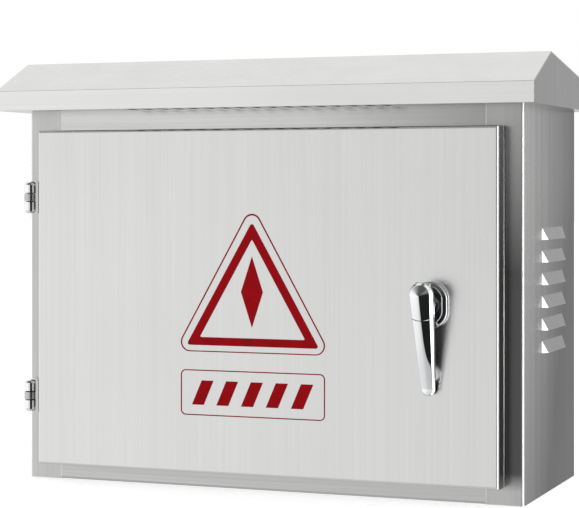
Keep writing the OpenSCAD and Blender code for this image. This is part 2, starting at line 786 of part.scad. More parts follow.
module lever_bumper() color(casing) difference() {
    rod_y(handle_x, bumper_z, bumper_r, crown_y, door_y - part_gap);
    lever_form();
    rod_y(handle_x, bumper_z, bumper_r + cut, crown_y - cut, tail_y - 6);
}

module latch_tongue() color(zinc) difference() {
    along_y(tongue_y, tongue_y + tongue_t) translate([handle_x, 0]) {
        circle(tongue_hub_r);
        rect(-tongue_w / 2, tongue_w / 2, 0, tongue_l - tongue_w / 2);
        translate([0, tongue_l - tongue_w / 2]) circle(tongue_w / 2);
    }
    square_y(square_w, tongue_y - cut, tongue_y + tongue_t + cut);
}

module latch_screw() color(zinc) {
    inner = tongue_y + tongue_t;
    rod_y(handle_x, 0, screw_head_r, inner, inner + screw_head_t, 6);
    rod_y(handle_x, 0, screw_r, inner - screw_l, inner);
}

// ---- equipment -----------------------------------------------------------------------------

module mounting_plate() color(zinc) difference() {
    union() {
        block([-plate_x, plate_face, -plate_z], [plate_x, plate_y, plate_z]);
        for (s = [0, 1]) mirror([0, 0, s])
            block([-plate_x, plate_y, plate_z - plate_t], [plate_x, plate_y + plate_hem, plate_z]);
    }
    four(plate_stud_x, plate_stud_z) rod_y(0, 0, plate_stud_r, plate_face - cut, plate_y + cut);
}

module plate_studs() color(zinc) four(plate_stud_x, plate_stud_z) {
    rod_y(0, 0, spacer_r, plate_y, -sheet);
    rod_y(0, 0, plate_stud_r, plate_face - plate_nut_t - 3, plate_y);
}

module plate_nuts() color(zinc) four(plate_stud_x, plate_stud_z) difference() {
    rod_y(0, 0, plate_nut_r, plate_face - plate_nut_t, plate_face, 6);
    rod_y(0, 0, plate_stud_r, plate_face - plate_nut_t - cut, plate_face + cut);
}

module din_rails() color(zinc) for (z = rail_zs)
    along_x(-rail_x, rail_x) translate([plate_face, z]) {
        rect(-rail_t, 0, -rail_rib / 2, rail_rib / 2);
        for (s = [0, 1]) mirror([0, s]) {
            rect(-rail_d, 0, rail_rib / 2 - rail_t, rail_rib / 2);
            rect(-rail_d, rail_t - rail_d, rail_rib / 2 - rail_t, rail_h / 2);
        }
    }

// a breaker's casing, w wide, with poles poles and a slot for its toggle
module breaker(x, w, poles) {
    x0 = x + device_gap;
    x1 = x + w - device_gap;
    pole_w = w / poles;
    color(casing) difference() {
        along_x(x0, x1) translate([rail_y, rail_zs[1]]) difference() {
            union() {
                rect(-shoulder_d, grip_d, -device_h / 2, device_h / 2);
                rect(-nose_d, -shoulder_d, -nose_h / 2, nose_h / 2);
            }
            rect(0, grip_d + cut, -rail_h / 2 - 0.2, rail_h / 2 + 0.2);
        }
        rod_x(drum_y, rail_zs[1], drum_r + part_gap, x0 + drum_wall, x1 - drum_wall);
        block([x0 + drum_wall, rail_y - nose_d - cut, rail_zs[1] - window_h / 2],
              [x1 - drum_wall, rail_y - nose_d + window_d, rail_zs[1] + window_h / 2]);
        rod_x(drum_y, rail_zs[1], axle_r + slip,
              x0 + drum_wall - axle_l - 0.2, x1 - drum_wall + axle_l + 0.2);
        for (i = [0:poles - 1], s = [-1, 1])
            rod_y(x + (i + 0.5) * pole_w, rail_zs[1] + s * terminal_dz, terminal_r,
                  rail_y - shoulder_d - cut, rail_y - shoulder_d + terminal_d);
    }
}

// a toggle turns in its casing on two stub axles
module toggle(x, w) color(dark) translate([0, drum_y, rail_zs[1]]) {
    x0 = x + device_gap + drum_wall + 0.2;
    x1 = x + w - device_gap - drum_wall - 0.2;
    rod_x(0, 0, drum_r, x0, x1);
    rod_x(0, 0, axle_r, x0 - axle_l, x1 + axle_l);
    rotate([-toggle_a, 0, 0])
        block([x0 + toggle_in, -toggle_r, -toggle_t / 2], [x1 - toggle_in, 0, toggle_t / 2]);
}

function branch_at(i) = branch_x + (i - 1) * module_w;

module comb_busbar() color("gray") {
    z1 = rail_zs[1] - device_h / 2;
    block([row_x + 2, comb_y - comb_d, z1 - tine_h - comb_h],
          [branch_at(branch_n + 1) - 2, comb_y, z1 - tine_h]);
    poles = concat([for (i = [0:2]) row_x + (i + 0.5) * module_w],
                   [for (i = [1:branch_n]) branch_at(i) + module_w / 2]);
    for (x = poles)
        block([x - tine_w / 2, comb_y - comb_d + 2, z1 - tine_h], [x + tine_w / 2, comb_y - 2, z1]);
}

module terminal_blocks() color("darkgray") for (i = [0:block_n - 1]) {
    x = (i - block_n / 2) * block_w;
    difference() {
        along_x(x + 0.1, x + block_w - 0.1) translate([rail_y, rail_zs[0]])
            polygon([[grip_d, -block_h / 2], [grip_d, -rail_h / 2 - 0.2], [0, -rail_h / 2 - 0.2],
                     [0, rail_h / 2 + 0.2], [grip_d, rail_h / 2 + 0.2], [grip_d, block_h / 2],
                     [block_slope - block_d, block_h / 2], [-block_d, block_h / 2 - block_slope],
                     [-block_d, block_slope - block_h / 2], [block_slope - block_d, -block_h / 2]]);
        for (s = [-1, 1])
            rod_y(x + block_w / 2, rail_zs[0] + s * block_hole_dz, block_hole_r,
                  rail_y - block_d - cut, rail_y - block_d + block_hole_d);
    }
}

bar_y = plate_face - bar_off;            // rear face of the terminal bars

function bar_hole(i) = bar_l * (i + 0.5) / bar_n;

// a terminal bar with wire holes up through it and a screw hole to each
module terminal_bar(x) color(brass) difference() {
    block([x, bar_y - bar_d, bar_z - bar_h / 2], [x + bar_l, bar_y, bar_z + bar_h / 2]);
    for (i = [0:bar_n - 1]) {
        rod_z(x + bar_hole(i), bar_y - bar_d / 2, wire_r, bar_z - bar_h, bar_z + bar_h);
        rod_y(x + bar_hole(i), bar_z, bar_screw_r, bar_y - bar_d - cut, bar_y - bar_d / 2);
    }
}

module neutral_bar() terminal_bar(bar_x);

module earth_bar() {
    x0 = -bar_x - bar_l;
    terminal_bar(x0);
    color(brass) for (x = [x0, -bar_x - bar_foot])
        block([x, bar_y, bar_z - bar_h / 2], [x + bar_foot, plate_face, bar_z + bar_h / 2]);
}

module neutral_insulators() color(dark) for (x = [bar_x, bar_x + bar_l - insulator_w])
    block([x, bar_y, bar_z - bar_h / 2], [x + insulator_w, plate_face, bar_z + bar_h / 2]);

module bar_screws() color(zinc) for (x = [bar_x, -bar_x - bar_l], i = [0:bar_n - 1])
    translate([x + bar_hole(i), bar_y - bar_d, bar_z]) difference() {
        union() {
            rod_y(0, 0, bar_head_r, -bar_head_t, 0);
            rod_y(0, 0, bar_screw_r, 0, bar_screw_l);
        }
        block([-bar_head_r, -bar_head_t - cut, -bar_slot_w / 2],
              [bar_head_r, bar_slot_d - bar_head_t, bar_slot_w / 2]);
    }

// ---- parts ---------------------------------------------------------------------------------

rear_panel();
left_side_panel();
right_side_panel();
top_panel();
bottom_panel();
gland_plate();
gland_plate_screws();
grommet(-grommet_x);  // supply_grommet
grommet(grommet_x);  // outgoing_grommet
hood_roof();
hood_left_gable();
hood_right_gable();
hood_soffit();
hood_ribs();
hood_screws();
door_panel();
door_seal();
door_stiffeners();
warning_triangle();
warning_lozenge();
warning_plate();
frame_leaf(hinge_zs[1]);  // upper_hinge_frame_leaf
door_leaf(hinge_zs[1]);  // upper_hinge_door_leaf
hinge_pin(hinge_zs[1]);  // upper_hinge_pin
frame_leaf(hinge_zs[0]);  // lower_hinge_frame_leaf
door_leaf(hinge_zs[0]);  // lower_hinge_door_leaf
hinge_pin(hinge_zs[0]);  // lower_hinge_pin
hinge_frame_nuts();
hinge_door_nuts();
handle_base();
handle_washer();
handle_nut();
handle_spindle();
handle_lever();
lock_cover();
lock_cover_pin();
lock_cylinder();
lever_bumper();
latch_tongue();
latch_screw();
mounting_plate();
plate_studs();
plate_nuts();
din_rails();
breaker(row_x, main_w, 3);  // main_breaker
toggle(row_x, main_w);  // main_toggle
comb_busbar();
terminal_blocks();
neutral_bar();
neutral_insulators();
earth_bar();
bar_screws();
for (i = [1:branch_n])
    breaker(branch_at(i), module_w, 1);
for (i = [1:branch_n])
    toggle(branch_at(i), module_w);
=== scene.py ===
"""Dresses a wall-mounted switchboard cabinet: finishes, handle, small fittings and the studio."""

import json
import math

import bmesh
import bpy
from bpy.props import FloatProperty, FloatVectorProperty, IntProperty, PointerProperty
from mathutils import Matrix, Vector

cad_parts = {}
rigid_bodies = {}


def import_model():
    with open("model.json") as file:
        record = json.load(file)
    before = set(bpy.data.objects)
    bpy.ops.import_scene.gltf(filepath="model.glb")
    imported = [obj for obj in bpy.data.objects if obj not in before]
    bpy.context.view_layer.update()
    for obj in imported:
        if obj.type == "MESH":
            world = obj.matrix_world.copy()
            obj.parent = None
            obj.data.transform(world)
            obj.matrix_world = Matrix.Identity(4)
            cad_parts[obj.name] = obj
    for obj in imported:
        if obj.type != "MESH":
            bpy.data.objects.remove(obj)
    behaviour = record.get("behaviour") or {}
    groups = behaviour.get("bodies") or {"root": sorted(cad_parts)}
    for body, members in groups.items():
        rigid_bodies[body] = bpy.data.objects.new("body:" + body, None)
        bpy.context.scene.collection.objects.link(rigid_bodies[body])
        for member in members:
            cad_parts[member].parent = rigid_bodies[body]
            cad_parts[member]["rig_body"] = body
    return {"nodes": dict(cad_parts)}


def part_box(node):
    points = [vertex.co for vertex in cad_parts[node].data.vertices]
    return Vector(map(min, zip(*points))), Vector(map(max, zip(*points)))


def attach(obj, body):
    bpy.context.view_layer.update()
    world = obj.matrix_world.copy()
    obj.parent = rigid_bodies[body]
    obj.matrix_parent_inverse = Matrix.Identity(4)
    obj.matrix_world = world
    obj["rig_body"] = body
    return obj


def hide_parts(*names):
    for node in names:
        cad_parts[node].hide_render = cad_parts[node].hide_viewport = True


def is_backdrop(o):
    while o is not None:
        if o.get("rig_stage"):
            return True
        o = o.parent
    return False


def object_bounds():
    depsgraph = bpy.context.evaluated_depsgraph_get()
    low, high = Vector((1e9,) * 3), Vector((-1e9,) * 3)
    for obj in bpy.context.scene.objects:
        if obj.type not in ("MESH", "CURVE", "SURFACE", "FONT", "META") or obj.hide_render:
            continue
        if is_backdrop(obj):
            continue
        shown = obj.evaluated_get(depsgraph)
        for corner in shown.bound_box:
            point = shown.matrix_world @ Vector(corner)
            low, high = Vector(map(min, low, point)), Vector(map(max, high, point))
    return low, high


bl_info = {
    "name": "Switchboard Cabinet",
    "version": (1, 0, 0),
    "blender": (4, 5, 0),
    "location": "3D View > Sidebar > Cabinet",
    "description": "Finishes, handle, fittings and studio for a wall-mounted switchboard cabinet",
    "category": "Object",
}

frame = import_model()
cad_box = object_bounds()

MM = 0.001
ALONG_X, ALONG_Y, ALONG_Z = 0, 1, 2


# ---- settings ------------------------------------------------------------------------------


def length(name, description, default):
    """A length in metres with the usual unit."""
    return FloatProperty(name=name, description=description, default=default, min=0.0,
                         subtype="DISTANCE", unit="LENGTH", precision=5)


def colour(name, description, default):
    """A linear colour."""
    return FloatVectorProperty(name=name, description=description, default=default, size=3,
                               min=0.0, max=1.0, subtype="COLOR")


def share(name, description, default):
    """A number from 0 to 1."""
    return FloatProperty(name=name, description=description, default=default, min=0.0, max=1.0,
                         subtype="FACTOR")


class CabinetFinishes(bpy.types.PropertyGroup):
    """Colours and surface of the cabinet's materials."""

    steel_light: colour("Light steel", "Steel between the grinding lines", (0.68, 0.68, 0.675))
    steel_dark: colour("Dark steel", "Steel in the grinding lines", (0.655, 0.655, 0.65))
    steel_roughness: share("Steel roughness", "Roughness of the ground sheet", 0.24)
    # painted light: the sides are made lighter than the door at the front
    side_lightness: FloatProperty(name="Side sheets", default=1.28, min=0.0, max=1.4,
                                  description="Tone of the sides at the front, beside the door's")
    # painted shade: the darker tone that the sides turn to at the wall
    side_painted_shade: share("Side sheets at the wall", "Tone of the sides at the wall", 0.24)
    chrome_tint: colour("Chrome", "Colour of the chrome plate", (0.82, 0.83, 0.84))
    zinc_tint: colour("Zinc", "Colour of zinc-plated steel", (0.62, 0.64, 0.66))
    brass_tint: colour("Brass", "Colour of drawn brass", (0.76, 0.55, 0.24))
    print_red: colour("Print", "Colour of the warning print", (0.27, 0.0012, 0.004))
    print_edge: colour("Print edge", "Darker rim of the warning print", (0.11, 0.001, 0.003))
    casing_tint: colour("Casings", "Colour of the breaker casings", (0.74, 0.74, 0.71))
    terminal_tint: colour("Terminals", "Colour of the terminal blocks", (0.33, 0.345, 0.34))
    toggle_black: colour("Main toggle", "Colour of the main toggle", (0.025, 0.025, 0.028))
    toggle_blue: colour("Branch toggles", "Colour of the branch toggles", (0.02, 0.085, 0.30))


class CabinetSizes(bpy.types.PropertyGroup):
    """Sizes of what is added to the frame."""

    sheet_edge: length("Sheet edge", "Rounding of the sheets' cut edges", 0.35 * MM)
    moulded_edge: length("Moulded edge", "Rounding of moulded edges", 0.5 * MM)
    small_edge: length("Small edge", "Rounding of nuts, screws and bars", 0.25 * MM)
    ball_from: length("Ball ends", "Inner end of a hinge's balls from its middle", 4.0 * MM)
    hem_radius: length("Door hem", "Radius of the bead along the door's rear edge", 0.9 * MM)
    lever_rim: length("Lever rim", "Rounding of the lever's rear edge", 1.3 * MM)
    ridge: length("Ridge", "How soft the ridge along the lever's front is", 1.3 * MM)
    base_rim: length("Base rim", "Rounding of the handle's base", 1.0 * MM)
    base_stem: length("Base stem", "Radius of the stem through the door", 9.5 * MM)
    terminal_offset: length("Terminal offset", "Terminal screws above and below a breaker's middle",
                            31.0 * MM)
    rivet_radius: length("Rivet radius", "Radius of the rail rivets", 3.2 * MM)
    rivets: IntProperty(name="Rivets", description="Rivets in each rail", default=4, min=2, max=8)


class CabinetStudio(bpy.types.PropertyGroup):
    """Camera and light."""

    camera_place: FloatVectorProperty(name="Camera", description="Place of the camera", size=3,
                                      default=(0.676, -1.874, 0.105), subtype="TRANSLATION",
                                      unit="LENGTH")
    camera_turn: FloatProperty(name="Turn", description="Turn of the camera about the upright",
                               default=math.radians(21.25), subtype="ANGLE", unit="ROTATION")
    lens: FloatProperty(name="Lens", description="Focal length in millimetres", default=119.25,
                        min=20.0)
    drop: FloatProperty(name="Drop", description="Share of the width that the view is lowered by",
                        default=-0.114)
    floor_tint: colour("Floor", "Colour of the floor", (0.86, 0.86, 0.86))


def finishes():
    """The colours that are set in the panel."""
    return bpy.context.scene.cabinet_finishes


def sizes():
    """The sizes that are set in the panel."""
    return bpy.context.scene.cabinet_sizes


def studio():
    """The camera and light that are set in the panel."""
    return bpy.context.scene.cabinet_studio


# ---- shader tools --------------------------------------------------------------------------


def shader(tree, kind, inputs=None, **settings):
    """Adds a shader node; inputs are values or other nodes' outputs."""
    made = tree.nodes.new(kind)
    for name, value in settings.items():
        setattr(made, name, value)
    for name, value in (inputs or {}).items():
        if isinstance(value, bpy.types.NodeSocket):
            tree.links.new(value, made.inputs[name])
        else:
            made.inputs[name].default_value = value
    return made


def maths(tree, operation, a, b):
    """One sum of two values or outputs."""
    return shader(tree, "ShaderNodeMath", {0: a, 1: b}, operation=operation).outputs[0]


def spread(tree, value, low, high, start, end):
    """Maps value from low..high to start..end."""
    made = shader(tree, "ShaderNodeMapRange", {"Value": value, "From Min": low, "From Max": high,
                                               "To Min": start, "To Max": end})
    return made.outputs["Result"]


def blend_colours(tree, share_of_b, a, b):
    """Goes from colour a to colour b by a share; each is a value or an output."""
    made = tree.nodes.new("ShaderNodeMix")
    made.data_type = "RGBA"
    for socket, value in ((made.inputs[0], share_of_b), (made.inputs[6], a), (made.inputs[7], b)):
        if isinstance(value, bpy.types.NodeSocket):
            tree.links.new(value, socket)
        else:
            socket.default_value = value if isinstance(value, float) else (*value, 1.0)
    return made.outputs[2]


def effect(name, inputs, outputs):
    """A new shader node group: returns its tree, its input sockets and its output node."""
    tree = bpy.data.node_groups.new(name, "ShaderNodeTree")
    for label, kind, default in inputs:
        socket = tree.interface.new_socket(label, in_out="INPUT", socket_type=kind)
        socket.default_value = default
    for label in outputs:
        tree.interface.new_socket(label, in_out="OUTPUT", socket_type="NodeSocketFloat")
    entry = tree.nodes.new("NodeGroupInput")
    return tree, entry.outputs, tree.nodes.new("NodeGroupOutput")


def place_effect(tree, name, **values):
    """Places a group in a material with its own values."""
    made = tree.nodes.new("ShaderNodeGroup")
    made.node_tree = bpy.data.node_groups[name]
    for label, value in values.items():
        made.inputs[label.replace("_", " ")].default_value = value
    return made.outputs


def noise(tree, vector, scale, detail=3.0, roughness=0.5):
    """Cloudy values about 0.5; scale is the number of clouds in a metre."""
    made = shader(tree, "ShaderNodeTexNoise", {"Vector": vector, "Scale": scale, "Detail": detail,
                                               "Roughness": roughness})
    return made.outputs["Fac"]


def on_the_piece(tree):
    """Coordinates in metres that stay on a piece when it moves."""
    return tree.nodes.new("ShaderNodeTexCoord").outputs["Object"]


def build_grinding_lines():
    """Long fine lines left by the grinding belt."""
    tree, given, result = effect("grinding lines", [
        ("Lines", "NodeSocketVector", (400.0, 400.0, 4.0)),
        ("Fineness", "NodeSocketFloat", 5.0),
        ("Banding", "NodeSocketFloat", 0.35)], ["Tone", "Height"])
    stretched = shader(tree, "ShaderNodeVectorMath", {0: on_the_piece(tree), 1: given["Lines"]},
                       operation="MULTIPLY").outputs[0]
    broad = noise(tree, stretched, 0.12, 2.0)
    streaks = noise(tree, stretched, 1.0, 4.0, 0.62)
    hairlines = noise(tree, stretched, given["Fineness"], 2.0, 0.6)
    fine_share = maths(tree, "SUBTRACT", 1.0, given["Banding"])
    tone = maths(tree, "ADD", maths(tree, "MULTIPLY", broad, given["Banding"]),
                 maths(tree, "MULTIPLY", streaks, fine_share))
    tree.links.new(spread(tree, tone, 0.36, 0.64, 0.0, 1.0), result.inputs["Tone"])
    tree.links.new(maths(tree, "ADD", maths(tree, "MULTIPLY", streaks, 0.4), hairlines),
                   result.inputs["Height"])


def build_edge_polish():
    """Where hands and cloths have brightened the edges."""
    tree, given, result = effect("edge polish", [("Reach", "NodeSocketFloat", 0.0008)], ["Mask"])
    rounded = shader(tree, "ShaderNodeBevel", {"Radius": given["Reach"]}, samples=4)
    true_normal = tree.nodes.new("ShaderNodeNewGeometry").outputs["Normal"]
    facing = shader(tree, "ShaderNodeVectorMath", {0: rounded.outputs[0], 1: true_normal},
                    operation="DOT_PRODUCT").outputs["Value"]
    broken = noise(tree, on_the_piece(tree), 180.0, 3.0)
    worn = maths(tree, "MULTIPLY", spread(tree, facing, 0.985, 0.80, 0.0, 1.0),
                 spread(tree, broken, 0.35, 0.6, 0.35, 1.0))
    tree.links.new(worn, result.inputs["Mask"])


def build_smudges():
    """Faint cloudy handling marks."""
    tree, given, result = effect("smudges", [("Size", "NodeSocketFloat", 9.0)], ["Mask"])
    clouds = noise(tree, on_the_piece(tree), given["Size"], 5.0, 0.6)
    tree.links.new(spread(tree, clouds, 0.45, 0.72, 0.0, 1.0), result.inputs["Mask"])


def build_settled_dust():
    """Dust on what faces up."""
    tree, given, result = effect("settled dust", [("Amount", "NodeSocketFloat", 0.3)], ["Mask"])
    facing = shader(tree, "ShaderNodeSeparateXYZ",
                    {0: tree.nodes.new("ShaderNodeNewGeometry").outputs["Normal"]}).outputs["Z"]
    patches = noise(tree, on_the_piece(tree), 30.0, 6.0, 0.7)
    dust = maths(tree, "MULTIPLY", spread(tree, facing, 0.5, 1.0, 0.0, 1.0),
                 spread(tree, patches, 0.35, 0.65, 0.2, 1.0))
    tree.links.new(maths(tree, "MULTIPLY", dust, given["Amount"]), result.inputs["Mask"])


def build_moulded_skin():
    """The fine even grain of a mould, with slight flow marks."""
    tree, given, result = effect("moulded skin", [("Grain", "NodeSocketFloat", 2500.0)],
                                 ["Tone", "Height"])
    where = on_the_piece(tree)
    tree.links.new(noise(tree, where, 25.0, 3.0), result.inputs["Tone"])
    tree.links.new(noise(tree, where, given["Grain"], 2.0, 0.6), result.inputs["Height"])


def new_material(name, **constants):
    """A material with one Principled shader; constants go on its own sockets."""
    made = bpy.data.materials.new(name)
    made.use_nodes = True
    tree = made.node_tree
    surface = tree.nodes["Principled BSDF"]
    for label, value in constants.items():
        surface.inputs[label.replace("_", " ")].default_value = value
    return made, tree, surface


def feed(tree, surface, colour=None, roughness=None, height=None, depth=0.0001, strength=0.3):
    """Links varying colour, roughness and relief to a Principled shader."""
    if colour is not None:
        tree.links.new(colour, surface.inputs["Base Color"])
    if roughness is not None:
        tree.links.new(roughness, surface.inputs["Roughness"])
    if height is not None:
        bump = shader(tree, "ShaderNodeBump", {"Height": height, "Distance": depth,
                                               "Strength": strength})
        tree.links.new(bump.outputs["Normal"], surface.inputs["Normal"])


# ---- materials -----------------------------------------------------------------------------


BELT_LINES = 420.0                       # grinding lines across a metre of sheet
BELT_RUN = 3.5                           # grinding lines along a metre of sheet
POLISHED = (0.92, 0.92, 0.91)            # steel where its edges are rubbed bright
STEEL_DUST = (0.42, 0.40, 0.37)


def ground_steel(name, along, lightness=1.0, contrast=0.0, banding=0.35, blur=0.0, painted_shade_tone=None,
                 from_z=0.5, down=0.55, right=0.0, above=None):
    """Ground stainless sheet, with its lines along one axis. Given a shade tone, it darkens to it
    as painted shade towards the wall and, by the shares down and right, towards the foot and the
    right, and keeps its own tone below the height above."""
    made, tree, surface = new_material(name, Metallic=1.0)
    lines = [BELT_LINES] * 3
    lines[along] = BELT_RUN
    grain = place_effect(tree, "grinding lines", Lines=lines, Banding=banding)
    edge = place_effect(tree, "edge polish", Reach=0.9 * MM)["Mask"]
    marks = place_effect(tree, "smudges", Size=5.0)["Mask"]
    dust = place_effect(tree, "settled dust", Amount=0.12)["Mask"]
    dark = tuple(lightness * (1 - contrast) * c for c in finishes().steel_dark)
    light = tuple(lightness * c for c in finishes().steel_light)
    tone = blend_colours(tree, grain["Tone"], dark, light)
    # painted shade: darker towards the wall, the foot and the right, fixed on the piece
    if painted_shade_tone is not None:
        place = shader(tree, "ShaderNodeSeparateXYZ", {0: on_the_piece(tree)}).outputs
        low, high = cad_box
        to_wall = spread(tree, place["Y"], 0.75 * low.y, 0.0, 0.0, 1.0)
        to_foot = spread(tree, place["Z"], from_z * high.z, low.z, 0.0, down)
        to_right = spread(tree, place["X"], 0.15 * high.x, 0.93 * high.x, 0.0, right)
        painted_shade_share = maths(tree, "ADD", maths(tree, "ADD", to_wall, to_foot), to_right)
        if above is not None:
            painted_shade_share = maths(tree, "MINIMUM", painted_shade_share,
                               spread(tree, place["Z"], above, above + 16 * MM, 0.0, 1.0))
        # the painted shade colour, with a trace of the grinding lines
        dull_and_shade_colour = maths(tree, "MULTIPLY", grain["Tone"], 0.12 * painted_shade_tone)
        dull_and_shade_colour = blend_colours(tree, dull_and_shade_colour, tuple(painted_shade_tone * c for c in finishes().steel_dark),
                             finishes().steel_light)
        tone = blend_colours(tree, painted_shade_share, tone, dull_and_shade_colour)
    polished = blend_colours(tree, maths(tree, "MULTIPLY", edge, 0.8), tone, POLISHED)
    dusty = blend_colours(tree, dust, polished, STEEL_DUST)
    rough = maths(tree, "ADD", spread(tree, grain["Tone"], 0.0, 1.0, 0.012, -0.012),
                  finishes().steel_roughness + blur)
    rough = maths(tree, "ADD", rough, maths(tree, "MULTIPLY", marks, 0.05))
    rough = maths(tree, "ADD", rough, maths(tree, "MULTIPLY", dust, 0.5))
    feed(tree, surface, dusty, rough, grain["Height"], 0.01 * MM, 0.12)
    return made


def chrome_plate():
    """Bright plating with faint finger marks."""
    made, tree, surface = new_material("chrome plate", Metallic=1.0)
    marks = place_effect(tree, "smudges", Size=60.0)["Mask"]
    tone = blend_colours(tree, maths(tree, "MULTIPLY", marks, 0.25), finishes().chrome_tint,
                         (0.70, 0.71, 0.72))
    feed(tree, surface, tone, spread(tree, marks, 0.0, 1.0, 0.035, 0.085))
    return made


def lever_rear_painted_shade():
    """Near-black pitted metal on the lever's rear: painted shade, so that its reflection in the
    door is dark.
    """
    made, tree, surface = new_material("lever rear painted shade", Metallic=1.0)
    where = on_the_piece(tree)
    pits = noise(tree, where, 700.0, 4.0, 0.6)
    tone = blend_colours(tree, spread(tree, pits, 0.35, 0.65, 0.0, 1.0), (0.05, 0.05, 0.052),
                         (0.09, 0.09, 0.092))
    feed(tree, surface, tone, spread(tree, pits, 0.3, 0.7, 0.42, 0.55), pits, 0.08 * MM, 0.3)
    return made


def zinc_plate():
    """Dull clouded plating of the small fittings."""
    made, tree, surface = new_material("zinc plate", Metallic=1.0)
    edge = place_effect(tree, "edge polish", Reach=0.5 * MM)["Mask"]
    where = on_the_piece(tree)
    cloud = noise(tree, where, 260.0, 4.0)
    tone = blend_colours(tree, spread(tree, cloud, 0.35, 0.65, 0.0, 1.0), finishes().zinc_tint,
                         (0.50, 0.51, 0.50))
    tone = blend_colours(tree, edge, tone, (0.78, 0.79, 0.80))
    feed(tree, surface, tone, spread(tree, cloud, 0.3, 0.7, 0.24, 0.40),
         noise(tree, where, 1500.0), 0.05 * MM, 0.2)
    return made


def galvanised_sheet():
    """Hot-dip zinc with its spangle."""
    made, tree, surface = new_material("galvanised sheet", Metallic=1.0)
    cells = shader(tree, "ShaderNodeTexVoronoi", {"Vector": on_the_piece(tree), "Scale": 120.0})
    grey = shader(tree, "ShaderNodeSeparateColor", {0: cells.outputs["Color"]}).outputs[0]
    dust = place_effect(tree, "settled dust", Amount=0.3)["Mask"]
    edge = place_effect(tree, "edge polish", Reach=0.8 * MM)["Mask"]
    tone = blend_colours(tree, grey, (0.50, 0.52, 0.54), (0.66, 0.68, 0.69))
    tone = blend_colours(tree, edge, tone, (0.80, 0.81, 0.82))
    tone = blend_colours(tree, dust, tone, (0.40, 0.38, 0.35))
    feed(tree, surface, tone, spread(tree, grey, 0.0, 1.0, 0.30, 0.46), grey, 0.02 * MM, 0.2)
    return made


def rubber(name, tint, grain):
    """Dull rubber or foam; grain is the number of cells in a metre."""
    made, tree, surface = new_material(name, Specular_IOR_Level=0.35)
    cells = shader(tree, "ShaderNodeTexVoronoi", {"Vector": on_the_piece(tree), "Scale": grain})
    skin = place_effect(tree, "moulded skin", Grain=900.0)
    dust = place_effect(tree, "settled dust", Amount=0.35)["Mask"]
    tone = blend_colours(tree, skin["Tone"], tint, tuple(1.7 * c for c in tint))
    tone = blend_colours(tree, dust, tone, (0.20, 0.19, 0.18))
    feed(tree, surface, tone, spread(tree, skin["Tone"], 0.3, 0.7, 0.66, 0.82),
         cells.outputs["Distance"], 0.2 * MM, 0.4)
    return made


def plastic(name, tint, roughness, shine=0.0):
    """Moulded plastic with a fine grain and rubbed edges."""
    made, tree, surface = new_material(name, Coat_Weight=shine, Coat_Roughness=0.12)
    skin = place_effect(tree, "moulded skin", Grain=2600.0)
    edge = place_effect(tree, "edge polish", Reach=0.6 * MM)["Mask"]
    dust = place_effect(tree, "settled dust", Amount=0.25)["Mask"]
    tone = blend_colours(tree, skin["Tone"], tuple(0.9 * c for c in tint), tint)
    lighter = tuple(min(1.0, 1.15 * c + 0.03) for c in tint)
    tone = blend_colours(tree, maths(tree, "MULTIPLY", edge, 0.6), tone, lighter)
    tone = blend_colours(tree, dust, tone, (0.36, 0.34, 0.31))
    feed(tree, surface, tone, spread(tree, skin["Tone"], 0.3, 0.7, roughness, roughness + 0.1),
         skin["Height"], 0.04 * MM, 0.25)
    return made


def drawn_brass():
    """Bar stock with its drawing lines."""
    made, tree, surface = new_material("drawn brass", Metallic=1.0)
    grain = place_effect(tree, "grinding lines", Lines=(6.0, 700.0, 700.0))
    edge = place_effect(tree, "edge polish", Reach=0.5 * MM)["Mask"]
    dull_and_shade_colour = tuple(0.75 * c for c in finishes().brass_tint)
    tone = blend_colours(tree, grain["Tone"], dull_and_shade_colour, finishes().brass_tint)
    tone = blend_colours(tree, edge, tone, (0.90, 0.72, 0.40))
    feed(tree, surface, tone, spread(tree, grain["Tone"], 0.0, 1.0, 0.34, 0.24),
         grain["Height"], 0.02 * MM, 0.3)
    return made


def screen_print():
    """Thick ink, a little uneven, with a darker rim."""
    made, tree, surface = new_material("screen print", Specular_IOR_Level=0.06)
    edge = place_effect(tree, "edge polish", Reach=0.7 * MM)["Mask"]
    where = on_the_piece(tree)
    cover = noise(tree, where, 90.0, 5.0, 0.6)
    lighter = tuple(min(1.0, 1.25 * c) for c in finishes().print_red)
    tone = blend_colours(tree, spread(tree, cover, 0.35, 0.65, 0.0, 1.0), finishes().print_red,
                         lighter)
    tone = blend_colours(tree, edge, tone, finishes().print_edge)
    feed(tree, surface, tone, spread(tree, cover, 0.3, 0.7, 0.5, 0.65),
         noise(tree, where, 3000.0), 0.03 * MM, 0.3)
    return made


